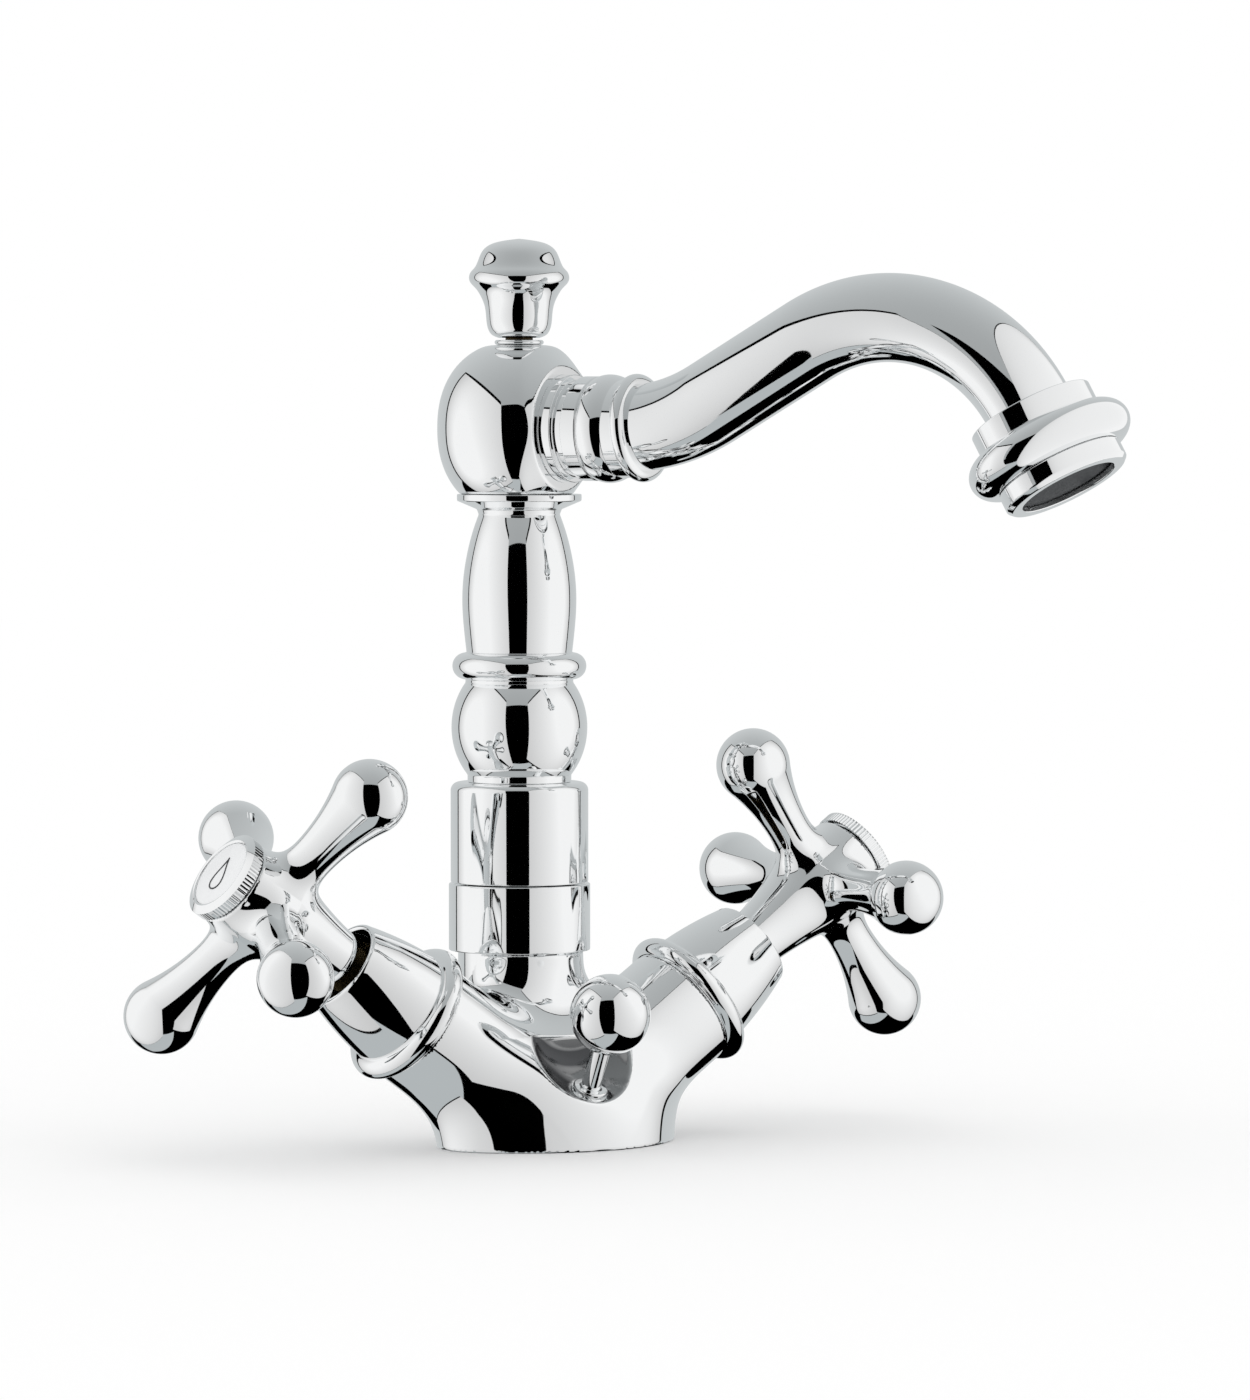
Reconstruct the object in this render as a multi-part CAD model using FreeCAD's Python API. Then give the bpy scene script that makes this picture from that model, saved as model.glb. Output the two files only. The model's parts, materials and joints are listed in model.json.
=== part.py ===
import FreeCAD, Part
import os
from math import asin, atan2, cos, isclose, pi, radians, sin, sqrt, tan

# Two-handle basin mixer with a swivelling spout and a pop-up lift knob, in millimetres.
# Origin: centre of the tap hole on the deck, +Z up, -Y to the user, hot valve at -X.

# Fits shared by all pieces
running_clearance = 0.05        # radial gap of a turning or sliding fit
fixed_clearance = 0.03          # radial gap of a screwed or pressed fit
face_gap = 0.2                  # gap between faces that turn past each other
cut_overrun = 60.0              # how far every cutting tool runs past the metal

# Directions, in degrees
arm_elevation = 35.0            # valve arms above the deck
spout_swing = 27.8              # spout from straight ahead towards the cold side
rod_lean = 26.0                 # lift rod from the vertical, towards the user
hot_handle_turn = -28.6         # how the hot cross stands about its own axis
cold_handle_turn = 3.05         # how the cold cross stands about its own axis

# Body casting
column_setback = 11.9           # spout column behind the tap hole centre
base_front_reach = 22.0
base_front_radius = 32.0        # large arc of the front edge
base_corner_radius = 12.0
base_corner_bearing = 48.59     # degrees from the front to the corner arcs, about the front arc's centre
base_rear_radius = 13.9         # round of the back, about the column
neck_radius = 13.56
neck_shoulder_height = 39.8
neck_thread_radius = 13.05
neck_thread_length = 8.8        # above the shoulder
flare_start_height = 38.0       # where the neck begins to sweep out
flare_radius = 18.3
flare_turn = 52.0               # degrees that the sweep turns through
foot_front_round = 12.0         # where the slope turns down into the front wall
arm_radius = 13.5
arm_length = 40.2               # from the middle plane to the mouth, along the axis
arm_axis_height = 4.4           # where both arm axes meet, above the deck
arm_root_fillet = 4.0           # casting round where the arms leave the foot and the neck
well_floor_height = 24.0        # bottom of the bore that takes the spout
supply_bore_radius = 4.0
supply_bore_start = 10.0
chamber_depth = 14.8            # valve chamber from the arm's mouth
seat_height = 1.0
seat_bore_radius = 4.0
seat_rim_radius = 5.2
mixing_duct_radius = 3.0
mixing_duct_rise = 2.8          # above the chamber's floor
mixing_duct_exit_height = 30.0
inlet_spread = 9.5              # inlets from the middle plane
inlet_radius = 4.5              # core of an M10 x 1 thread
inlet_depth = 12.0
stud_setback = 11.0
stud_radius = 3.4               # core of an M8 thread
stud_depth = 12.0
gasket_inset = 2.2
gasket_width = 3.0
gasket_groove_depth = 1.6

# Pop-up lift knob, its rod and the pocket that it stands in
rod_radius = 2.1
rod_exit_inset = 4.2            # where the rod leaves its bush, behind the front edge
rod_exit_height = 15.4
rod_end_height = 1.5            # lower end above the deck
rod_grip = 6.0                  # how deep the rod is screwed into the knob
knob_radius = 8.5
knob_stand = 14.9               # knob centre above the rod's exit, along the rod
pocket_radius = 19.0            # ball-shaped scoop about the knob
bush_radius = 3.4
bush_length = 10.0
bush_lip_radius = 4.3

# Valve headwork
headwork_radius = 10.1          # G 1/2 thread
headwork_depth = 9.2            # into the arm's mouth
headwork_flange_height = 5.0
headwork_across_flats = 19.0
headwork_nose_radius = 7.4
headwork_nose_length = 7.6
guide_across_flats = 11.8       # hexagon that keeps the washer carrier from turning
guide_depth = 6.0
collar_bore_radius = 5.6
collar_bore_depth = 7.0
headwork_seal_section = 1.0
headwork_seal_drop = 2.8        # below the flange

# Spindle
spindle_radius = 4.0
spindle_end_gap = 0.5           # above the guide
spindle_tip_gap = 0.4           # below the handle's web
spindle_collar_height = 3.0
spindle_thread_radius = 2.6     # inside thread that drives the carrier
spindle_thread_depth = 12.5
spindle_screw_depth = 10.0
spindle_seal_section = 0.7
spindle_seal_drop = 2.0         # below the top of the nose
clip_radius = 5.6
clip_thickness = 0.8
clip_groove_depth = 0.5
clip_opening = 5.0

# Washer carrier, seat washer and washer screw
carrier_plate_height = 4.1
carrier_stem_length = 9.45
washer_radius = 5.6
washer_height = 2.0
washer_screw_radius = 1.4
washer_screw_head_radius = 2.6
washer_screw_head_height = 1.2
washer_screw_length = 4.5

# Bonnet cover
cover_ring_section = 2.4        # half-round ring at the foot
cover_ring_radius = 15.65
cover_foot_radius = 12.95
cover_mouth_radius = 9.9
cover_length = 21.8
cover_wall = 1.3
cover_swell = 0.35              # how far the taper bows out
cover_lip_bore = 10.4
cover_lip_height = 1.2

# Cross handle
handle_stem_inset = 5.2         # stem's end inside the cover's mouth
handle_plane_rise = 26.9        # arms' centre plane above the stem's end
handle_stem_radius = 6.3
handle_hub_radius = 9.9
handle_swell_drop = 1.7         # widest part of the hub below the arms' plane
handle_face_rise = 7.3          # above the arms' plane
handle_face_radius = 9.4
handle_arm_count = 4
handle_ball_reach = 31.8        # ball centres from the axis
handle_ball_radius = 7.9
handle_waist_radius = 4.6
handle_waist_reach = 14.0
handle_root_fillet = 2.0
handle_web_height = 7.6
handle_recess_radius = 7.0
handle_recess_depth = 7.0
handle_screw_radius = 2.4
handle_screw_head_radius = 4.2
handle_screw_head_height = 2.6
handle_screw_reach = 7.0        # into the spindle
handle_screw_slot_width = 1.0
handle_screw_slot_depth = 1.2

# Index ring and disc
index_ring_radius = 9.7
index_ring_height = 5.0
index_bevel_height = 2.4
index_skirt_depth = 4.0
index_skirt_wall = 1.2
index_disc_radius = 7.5
index_disc_height = 1.4
index_disc_sink = 0.3           # disc face below the ring's edge
knurl_count = 60
knurl_depth = 0.35

# Swivel joint and column
nut_radius = 15.0
nut_lip_height = 2.7
nut_chamfer = 0.4
nut_play = 0.25                 # between the split ring and the nut's lip
slip_washer_height = 0.6
split_ring_height = 2.0
split_ring_radius = 12.6
split_ring_bore = 9.7
split_ring_opening = 3.0
spigot_radius = 10.9
spigot_end_gap = 2.0            # spigot's end above the floor of the well
swivel_seal_section = 0.8
swivel_seal_rises = (5.0, 11.0)  # above the spigot's end
sleeve_radius = 14.6
sleeve_length = 21.3
sleeve_edge_round = 1.0
sleeve_bore_radius = 7.2
baluster_tail_radius = 8.95
baluster_tail_length = 11.5
baluster_bore_radius = 5.8
bead_radius = 14.4
bead_half_height = 15.6
bead_foot_length = 1.53         # straight foot under the bead
bead_foot_radius = 11.0
bead_neck_share = 0.609         # bead's upper end above its middle, of its half height
ring_neck_length = 0.7          # straight neck between the bead and the half-round ring
ring_radius = 14.2
ring_half_height = 2.8
vase_step = 0.1                 # straight neck between the ring and the vase
vase_radius = 12.08
vase_height = 29.2
vase_radius_shares = (0.927, 0.974, 1.0, 0.974, 0.902, 0.79, 0.712)
vase_height_shares = (0.0, 0.18, 0.37, 0.565, 0.74, 0.91, 1.0)
plate_radius = 13.2
plate_thickness = 1.4
plate_flare_height = 1.8
plate_root_radius = 9.0
plate_root_rise = 1.1           # above the vase

# Spout head and finial
head_radius = 17.35
head_half_height = 18.6
head_fullness = 2.25            # 2 is an ellipse, more is fuller
head_cavity_radius = 12.0
head_foot_share = 0.7473        # lower end below the middle, of the half height
head_crown_share = 0.9247       # upper end above the middle, of the half height
head_flat_reach = 11.2          # flat for the spout, from the column axis
head_flat_radius = 13.3
head_tail_radius = 7.9
head_tail_length = 4.8
finial_washer_radius = 5.2
finial_washer_height = 1.6
finial_stem_radius = 2.9
finial_stem_gap = 0.6           # bare stem between the washer and the knob
finial_stem_length = 8.0
finial_radius = 10.6
finial_height = 20.6
finial_radius_shares = (0.40, 0.555, 0.63, 0.66, 0.70, 0.78, 0.90, 1.0, 0.93, 0.83, 0.73, 0.52, 0.0)
finial_height_shares = (0.0, 0.05, 0.12, 0.24, 0.36, 0.46, 0.53, 0.62, 0.71, 0.79, 0.90, 0.97, 1.0)
finial_bore_depth = 9.0

# Spout collar, tube and outlet, along the spout
collar_tail_radius = 8.8
collar_tail_length = 4.5
collar_radius = 11.4
collar_step_radius = 11.0
collar_step_reach = 14.0
collar_band_reach = 16.3
collar_band_end = 20.0
collar_barrel_reach = 22.6
collar_waist_reach = 25.6
collar_waist_radius = 10.3
collar_ring_reach = 29.6        # centre of the end ring, which stands square to the bent tube
collar_ring_half_height = 1.7
collar_groove_depth = 0.5
collar_water_radius = 7.4
tube_radius = 9.15
tube_wall = 1.2
tube_start_reach = 20.4
tube_bend_reach = 25.8          # where the first bend begins
tube_first_bend = 43.3
tube_rise = 29.15               # degrees of the rising stretch
tube_rise_length = 26.3
tube_second_bend = 37.7
outlet_lean = 29.5              # outlet axis from the vertical, degrees
outlet_band_radius = 13.2
outlet_band_height = 4.7
outlet_ring_radius = 17.8
outlet_ring_half_height = 4.3
outlet_foot_radius = 12.9
outlet_foot_height = 13.4       # length of the outlet collar along its axis
tube_end_depth = 5.0            # tube inside the outlet collar
aerator_thread_radius = 12.0
aerator_thread_top = 8.6        # start of the thread along the outlet axis
aerator_shell_radius = 13.5
aerator_shell_end = 17.8
aerator_shell_bevel = 0.9
aerator_opening_radius = 10.3
aerator_shell_bore = 10.8
aerator_lip_height = 1.2
aerator_washer_height = 1.2
aerator_washer_bore = 9.4
aerator_insert_height = 5.0
aerator_hole_count = 12
aerator_hole_radius = 0.8
aerator_hole_ring_share = 0.68
aerator_screen_height = 0.6

# Heights up the column that follow from these sizes
neck_top_height = neck_shoulder_height + neck_thread_length
nut_bottom = neck_shoulder_height + face_gap
split_ring_bottom = neck_top_height + slip_washer_height + running_clearance
nut_top = split_ring_bottom + split_ring_height + nut_play + nut_lip_height
spigot_bottom = well_floor_height + spigot_end_gap
swivel_seal_heights = tuple(spigot_bottom + rise for rise in swivel_seal_rises)
sleeve_bottom = nut_top + face_gap
sleeve_top = sleeve_bottom + sleeve_length
bead_foot_height = sleeve_top + bead_foot_length
bead_height = bead_foot_height + bead_half_height * sqrt(1 - (bead_foot_radius / bead_radius) ** 2)
bead_neck_height = bead_height + bead_half_height * bead_neck_share
ring_height = bead_neck_height + ring_neck_length + ring_half_height
vase_bottom = ring_height + ring_half_height + vase_step
plate_root_height = vase_bottom + vase_height + plate_root_rise
plate_bottom = plate_root_height + plate_flare_height
plate_top = plate_bottom + plate_thickness
head_height = plate_top + head_half_height * head_foot_share
head_top = head_height + head_half_height * head_crown_share
finial_bottom = head_top + finial_washer_height + finial_stem_gap

# Reach of the lift rod's exit ahead of the origin
rod_exit_reach = base_front_reach - rod_exit_inset

# Positions along a valve arm that follow from these sizes
seat_position = arm_length - chamber_depth
mixing_duct_position = seat_position + mixing_duct_rise
headwork_bottom = arm_length - headwork_depth
headwork_flange_bottom = arm_length + cover_lip_height
headwork_nose_top = headwork_flange_bottom + headwork_flange_height + headwork_nose_length
headwork_seal_position = headwork_flange_bottom - headwork_seal_drop
guide_top = headwork_bottom + guide_depth
collar_bore_top = guide_top + collar_bore_depth
washer_top = seat_position + seat_height + running_clearance + washer_height
cover_mouth_position = arm_length + cover_length
handle_stem_bottom = cover_mouth_position - handle_stem_inset
handle_plane = handle_stem_bottom + handle_plane_rise
handle_hub_swell_position = handle_plane - handle_swell_drop
handle_face = handle_plane + handle_face_rise
handle_recess_floor = handle_face - handle_recess_depth
handle_web_bottom = handle_recess_floor - handle_web_height
spindle_bottom = guide_top + spindle_end_gap
spindle_collar_bottom = collar_bore_top - spindle_collar_height
spindle_thread_top = spindle_bottom + spindle_thread_depth
spindle_seal_position = headwork_nose_top - spindle_seal_drop
spindle_top = handle_web_bottom - spindle_tip_gap

V = FreeCAD.Vector
UP = V(0, 0, 1)
ORIGIN = V(0, 0, 0)
SIDES = {"hot": -1, "cold": 1}


def spun(start, *steps):
    """Turn an outline of (radius, height) points about Z.

    A step is a point for a straight line, a (via, end) pair for an arc,
    or a list of points for one smooth curve.
    """
    def at(point):
        return V(point[0], 0, point[1])

    edges = []
    here = start
    for step in steps + (start,):
        if isinstance(step, list):
            curve = Part.BSplineCurve()
            curve.interpolate([at(point) for point in [here] + step])
            edges.append(curve.toShape())
            here = step[-1]
        elif isinstance(step[0], tuple):
            via, end = step
            edges.append(Part.Arc(at(here), at(via), at(end)).toShape())
            here = end
        elif step != here:
            edges.append(Part.makeLine(at(here), at(step)))
            here = step
    solid = Part.Face(Part.Wire(edges)).revolve(ORIGIN, UP, 360)
    return solid if solid.Volume > 0 else solid.reversed()


def rod(radius, bottom, top):
    """Cylinder about Z between two heights."""
    return Part.makeCylinder(radius, top - bottom, V(0, 0, bottom))


def tube(outer, inner, bottom, top):
    """Ring of rectangular section about Z."""
    return rod(outer, bottom, top).cut(rod(inner, bottom, top))


def seal(middle_radius, section, height):
    """O-ring about Z."""
    return Part.makeTorus(middle_radius, section, V(0, 0, height), UP)


def hexagon(across_flats, bottom, top):
    """Hexagonal bar about Z."""
    corner = across_flats / sqrt(3)
    points = [V(corner * cos(k * pi / 3), corner * sin(k * pi / 3), bottom) for k in range(7)]
    return Part.Face(Part.makePolygon(points)).extrude(V(0, 0, top - bottom))


def half_round(radius, base_radius, middle, half_height):
    """Arc step of a half-round ring, for spun(), that starts at middle - half_height."""
    return ((radius, middle), (base_radius, middle + half_height))


def placed(shape, x_axis, y_axis, z_axis, origin):
    """Copy of a shape, moved from the world axes to the given ones."""
    copy = shape.copy()
    move = FreeCAD.Placement(origin, FreeCAD.Rotation(x_axis, y_axis, z_axis, "ZXY"))
    copy.Placement = move.multiply(copy.Placement)
    return copy


def on_arm(shape, side):
    """Stand a shape made about Z on a valve arm's axis."""
    lean = radians(arm_elevation)
    axis = V(side * cos(lean), 0, sin(lean))
    across = V(0, 1, 0)
    return placed(shape, across.cross(axis), across, axis, V(0, 0, arm_axis_height))


def on_column(shape):
    """Stand a shape made about Z on the spout column."""
    return shape.translated(V(0, column_setback, 0))


def on_rod(shape):
    """Stand a shape made about Z on the lift rod, with zero where the rod leaves its bush."""
    lean = radians(rod_lean)
    axis = V(0, -sin(lean), cos(lean))
    along = V(1, 0, 0)
    return placed(shape, along, axis.cross(along), axis, V(0, -rod_exit_reach, rod_exit_height))


def swung(shape):
    """Turn a shape made with the spout along +X to where the spout stands."""
    turned = shape.copy()
    turned.rotate(ORIGIN, UP, spout_swing - 90)
    return on_column(turned)


def on_spout(shape):
    """Lay a shape made about Z along the spout's root axis."""
    lying = placed(shape, V(0, 0, -1), V(0, 1, 0), V(1, 0, 0), V(0, 0, head_height))
    return swung(lying)


def spout_points():
    """Ends and mid-points of the spout's centreline, in its own plane."""
    rise = radians(tube_rise)
    fall = radians(90 - outlet_lean)

    def first(angle):
        return V(tube_bend_reach + tube_first_bend * sin(angle), 0,
                 head_height + tube_first_bend * (1 - cos(angle)))

    climb = V(cos(rise), 0, sin(rise)) * tube_rise_length
    crest = first(rise) + climb
    centre = crest + V(sin(rise), 0, -cos(rise)) * tube_second_bend

    def second(angle):
        return centre + V(-sin(angle), 0, cos(angle)) * tube_second_bend

    start = V(tube_start_reach, 0, head_height)
    return start, first(0), first(rise / 2), first(rise), crest, second((rise - fall) / 2), second(-fall)


def on_outlet(shape):
    """Hang a shape made about Z on the outlet axis, zero where the last bend ends."""
    lean = radians(outlet_lean)
    axis = V(sin(lean), 0, -cos(lean))
    across = V(0, 1, 0)
    return swung(placed(shape, across.cross(axis), across, axis, spout_points()[-1]))


def base_outline(inset):
    """Face of the egg-shaped base, drawn in from its edge."""
    front = base_front_radius - inset
    corner = base_corner_radius - inset
    rear = base_rear_radius - inset
    front_y = base_front_radius - base_front_reach
    bearing = radians(base_corner_bearing)
    corner_reach = base_front_radius - base_corner_radius
    corner_centre = V(corner_reach * sin(bearing), front_y - corner_reach * cos(bearing), 0)
    rear_centre = V(0, column_setback, 0)
    joining = (corner_centre - V(0, front_y, 0)).normalize()
    run = rear_centre - corner_centre
    flank = atan2(run.y, run.x) - pi / 2 - asin((rear - corner) / run.Length)
    outward = V(cos(flank), sin(flank), 0)

    def mirrored(point):
        return V(-point.x, point.y, 0)

    front_end = V(0, front_y, 0) + joining * front
    corner_mid = corner_centre + (joining + outward).normalize() * corner
    corner_end = corner_centre + outward * corner
    rear_end = rear_centre + outward * rear
    edges = [
        Part.Arc(mirrored(front_end), V(0, front_y - front, 0), front_end).toShape(),
        Part.Arc(front_end, corner_mid, corner_end).toShape(),
        Part.makeLine(corner_end, rear_end),
        Part.Arc(rear_end, V(0, column_setback + rear, 0), mirrored(rear_end)).toShape(),
        Part.makeLine(mirrored(rear_end), mirrored(corner_end)),
        Part.Arc(mirrored(corner_end), mirrored(corner_mid), mirrored(front_end)).toShape(),
    ]
    return Part.Face(Part.Wire(edges))


def body_shell():
    """Outside of the casting: foot, swept neck and two arms."""
    sweep = radians(flare_turn)
    centre_r = neck_radius + flare_radius
    half = (centre_r - flare_radius * cos(sweep / 2), flare_start_height - flare_radius * sin(sweep / 2))
    end = (centre_r - flare_radius * cos(sweep), flare_start_height - flare_radius * sin(sweep))
    # The slope ends in an arc that turns down into the front wall.
    reach = column_setback + base_front_reach
    corner = end[1] - (reach - end[0]) / tan(sweep)
    run = foot_front_round * tan(sweep / 2)
    turn_start = (reach - run * sin(sweep), corner + run * cos(sweep))
    turn_half = (reach - foot_front_round * (1 - cos(sweep / 2)),
                 corner - run + foot_front_round * sin(sweep / 2))
    skirt = spun((0, 0), (reach, 0), (reach, corner - run), (turn_half, turn_start), end,
                 (half, (neck_radius, flare_start_height)), (neck_radius, neck_shoulder_height),
                 (0, neck_shoulder_height))
    foot = base_outline(0).extrude(V(0, 0, neck_shoulder_height))
    body = foot.common(on_column(skirt))
    below = V(-cut_overrun, -cut_overrun, -cut_overrun)
    deck = Part.makeBox(2 * cut_overrun, 2 * cut_overrun, cut_overrun, below)
    arms = [on_arm(rod(arm_radius, 0, arm_length), side).cut(deck) for side in SIDES.values()]
    body = body.fuse(arms).removeSplitter()
    return body.makeFillet(arm_root_fillet, casting_roots(body))


def casting_roots(body):
    """Edges where an arm's wall meets the foot or the neck."""
    def on_arm_wall(face):
        return isinstance(face.Surface, Part.Cylinder) and isclose(face.Surface.Radius, arm_radius)

    roots = []
    for edge in body.Edges:
        faces = body.ancestorsOfType(edge, Part.Face)
        meets_arm = len(faces) == 2 and on_arm_wall(faces[0]) != on_arm_wall(faces[1])
        if meets_arm and not isinstance(edge.Curve, Part.Circle):
            roots.append(edge)
    return roots


def body_casting():
    """Cast brass body with its bores, seats, ducts and pocket."""
    body = body_shell()
    thread = on_column(rod(neck_thread_radius, neck_shoulder_height, neck_top_height))
    body = body.fuse(thread)
    cuts = [on_column(rod(spigot_radius + running_clearance, well_floor_height, neck_top_height))]
    for side in SIDES.values():
        chamber = rod(headwork_radius + fixed_clearance, seat_position, arm_length)
        seat = tube(seat_rim_radius, seat_bore_radius, seat_position, seat_position + seat_height)
        cuts.append(on_arm(chamber.cut(seat), side))
        cuts.append(on_arm(rod(seat_bore_radius, seat_position - seat_bore_radius, seat_position), side))
        cuts.append(on_arm(rod(supply_bore_radius, supply_bore_start, seat_position), side))
        lean = radians(arm_elevation)
        inner = V(side * cos(lean) * mixing_duct_position, 0,
                  arm_axis_height + sin(lean) * mixing_duct_position)
        outer = V(0, column_setback, mixing_duct_exit_height)
        cuts.append(Part.makeCylinder(mixing_duct_radius, (outer - inner).Length, inner, outer - inner))
        cuts.append(rod(inlet_radius, 0, inlet_depth).translated(V(side * inlet_spread, 0, 0)))
    cuts.append(rod(stud_radius, 0, stud_depth).translated(V(0, stud_setback, 0)))
    cuts.append(on_rod(Part.makeSphere(pocket_radius, V(0, 0, knob_stand))))
    cuts.append(on_rod(rod(bush_lip_radius + fixed_clearance, pocket_floor(), 0)))
    cuts.append(on_rod(rod(bush_radius + fixed_clearance, -cut_overrun, 0)))
    groove = base_outline(gasket_inset).cut(base_outline(gasket_inset + gasket_width))
    cuts.append(groove.extrude(V(0, 0, gasket_groove_depth)))
    for tool in cuts:
        body = body.cut(tool)
    return body


def base_gasket():
    """Flat rubber gasket in the groove under the base."""
    inner = gasket_inset + gasket_width - fixed_clearance
    ring = base_outline(gasket_inset + fixed_clearance).cut(base_outline(inner))
    return ring.extrude(V(0, 0, gasket_groove_depth))


def pocket_floor():
    """Deepest point of the pocket along the rod."""
    return knob_stand - pocket_radius


def popup_guide_bush():
    """Turned bush that guides the lift rod and stands on the pocket floor."""
    bush = rod(bush_radius, -bush_length, 0).fuse(rod(bush_lip_radius, pocket_floor(), 0))
    bore = rod(rod_radius + running_clearance, -bush_length, 0)
    return on_rod(bush.cut(bore))


def rod_foot():
    """Lower end of the lift rod along its axis."""
    return (rod_end_height - rod_exit_height) / cos(radians(rod_lean))


def popup_rod():
    """Lift rod of the pop-up waste."""
    return on_rod(rod(rod_radius, rod_foot(), knob_stand - knob_radius + rod_grip))


def popup_knob():
    """Ball knob on the lift rod."""
    ball = Part.makeSphere(knob_radius, V(0, 0, knob_stand))
    grip = rod(rod_radius + fixed_clearance, 0, knob_stand - knob_radius + rod_grip)
    return on_rod(ball.cut(grip))


def headwork(side):
    """Brass valve body screwed into the arm, with a guide for the washer carrier."""
    flange_top = headwork_flange_bottom + headwork_flange_height
    body = rod(headwork_radius, headwork_bottom, headwork_flange_bottom)
    body = body.fuse(hexagon(headwork_across_flats, headwork_flange_bottom, flange_top))
    body = body.fuse(rod(headwork_nose_radius, flange_top, headwork_nose_top))
    body = body.cut(hexagon(guide_across_flats, headwork_bottom, guide_top))
    body = body.cut(rod(collar_bore_radius, guide_top, collar_bore_top))
    body = body.cut(rod(spindle_radius + running_clearance, collar_bore_top, headwork_nose_top))
    groove_floor = headwork_radius - 2 * headwork_seal_section
    groove = tube(headwork_radius, groove_floor, headwork_seal_position - headwork_seal_section,
                  headwork_seal_position + headwork_seal_section)
    return on_arm(body.cut(groove), side)


def headwork_seal(side):
    """O-ring between the headwork and the arm's bore."""
    section = headwork_seal_section - fixed_clearance
    return on_arm(seal(headwork_radius - headwork_seal_section, section, headwork_seal_position), side)


def spindle(side):
    """Turning spindle: collar and drive thread inside, spline for the handle outside."""
    collar_top = collar_bore_top - running_clearance
    body = rod(spindle_radius, spindle_bottom, spindle_top)
    body = body.fuse(rod(collar_bore_radius - running_clearance, spindle_collar_bottom, collar_top))
    body = body.cut(rod(spindle_thread_radius, spindle_bottom, spindle_thread_top))
    screw_hole = rod(handle_screw_radius + fixed_clearance, spindle_top - spindle_screw_depth, spindle_top)
    body = body.cut(screw_hole)
    seal_groove = tube(spindle_radius, spindle_radius - 2 * spindle_seal_section,
                       spindle_seal_position - spindle_seal_section,
                       spindle_seal_position + spindle_seal_section)
    clip_bottom = headwork_nose_top + running_clearance
    clip_groove = tube(spindle_radius, spindle_radius - clip_groove_depth, clip_bottom,
                       clip_bottom + clip_thickness + running_clearance)
    return on_arm(body.cut(seal_groove).cut(clip_groove), side)


def spindle_seal(side):
    """O-ring in the spindle's groove."""
    section = spindle_seal_section - fixed_clearance
    return on_arm(seal(spindle_radius - spindle_seal_section, section, spindle_seal_position), side)


def spindle_clip(side):
    """Open spring clip that holds the spindle in the headwork."""
    bottom = headwork_nose_top + running_clearance
    bore = spindle_radius - clip_groove_depth + fixed_clearance
    ring = tube(clip_radius, bore, bottom, bottom + clip_thickness)
    opening = Part.makeBox(clip_radius, clip_opening, clip_thickness, V(0, -clip_opening / 2, bottom))
    return on_arm(ring.cut(opening), side)


def washer_carrier(side):
    """Hexagonal plate with a threaded stem that the spindle lifts."""
    flats = guide_across_flats - 4 * running_clearance
    plate_top = washer_top + carrier_plate_height
    body = hexagon(flats, washer_top, plate_top)
    stem_top = plate_top + carrier_stem_length
    body = body.fuse(rod(spindle_thread_radius - running_clearance, plate_top, stem_top))
    hole = rod(washer_screw_radius + fixed_clearance, washer_top, washer_top + washer_screw_length)
    return on_arm(body.cut(hole), side)


def seat_washer(side):
    """Rubber washer that closes on the seat."""
    bottom = washer_top - washer_height
    disc = rod(washer_radius, bottom, washer_top)
    return on_arm(disc.cut(rod(washer_screw_radius + fixed_clearance, bottom, washer_top)), side)


def washer_screw(side):
    """Small screw that holds the washer on its carrier."""
    bottom = washer_top - washer_height
    shank = rod(washer_screw_radius, bottom, washer_top + washer_screw_length)
    return on_arm(shank.fuse(rod(washer_screw_head_radius, bottom - washer_screw_head_height, bottom)), side)


def bonnet_cover(side):
    """Turned cover over the headwork, with a half-round ring at its foot."""
    ring_middle = arm_length + cover_ring_section
    ring_top = ring_middle + cover_ring_section
    lip_top = arm_length + cover_lip_height
    inner_foot = cover_foot_radius - cover_wall
    inner_mouth = cover_mouth_radius - cover_wall
    middle = (ring_top + cover_mouth_position) / 2
    middle_radius = (cover_foot_radius + cover_mouth_radius) / 2 + cover_swell
    edge = cover_wall / 2
    outline = [
        half_round(cover_ring_radius, cover_foot_radius, ring_middle, cover_ring_section),
        ((middle_radius, middle), (cover_mouth_radius, cover_mouth_position - edge)),
        ((cover_mouth_radius - edge, cover_mouth_position), (inner_mouth, cover_mouth_position - edge)),
        ((middle_radius - cover_wall, middle), (inner_foot, ring_top)),
        (inner_foot, lip_top),
        (cover_lip_bore, lip_top),
        (cover_lip_bore, arm_length),
    ]
    return on_arm(spun((cover_foot_radius, arm_length), *outline), side)


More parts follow.
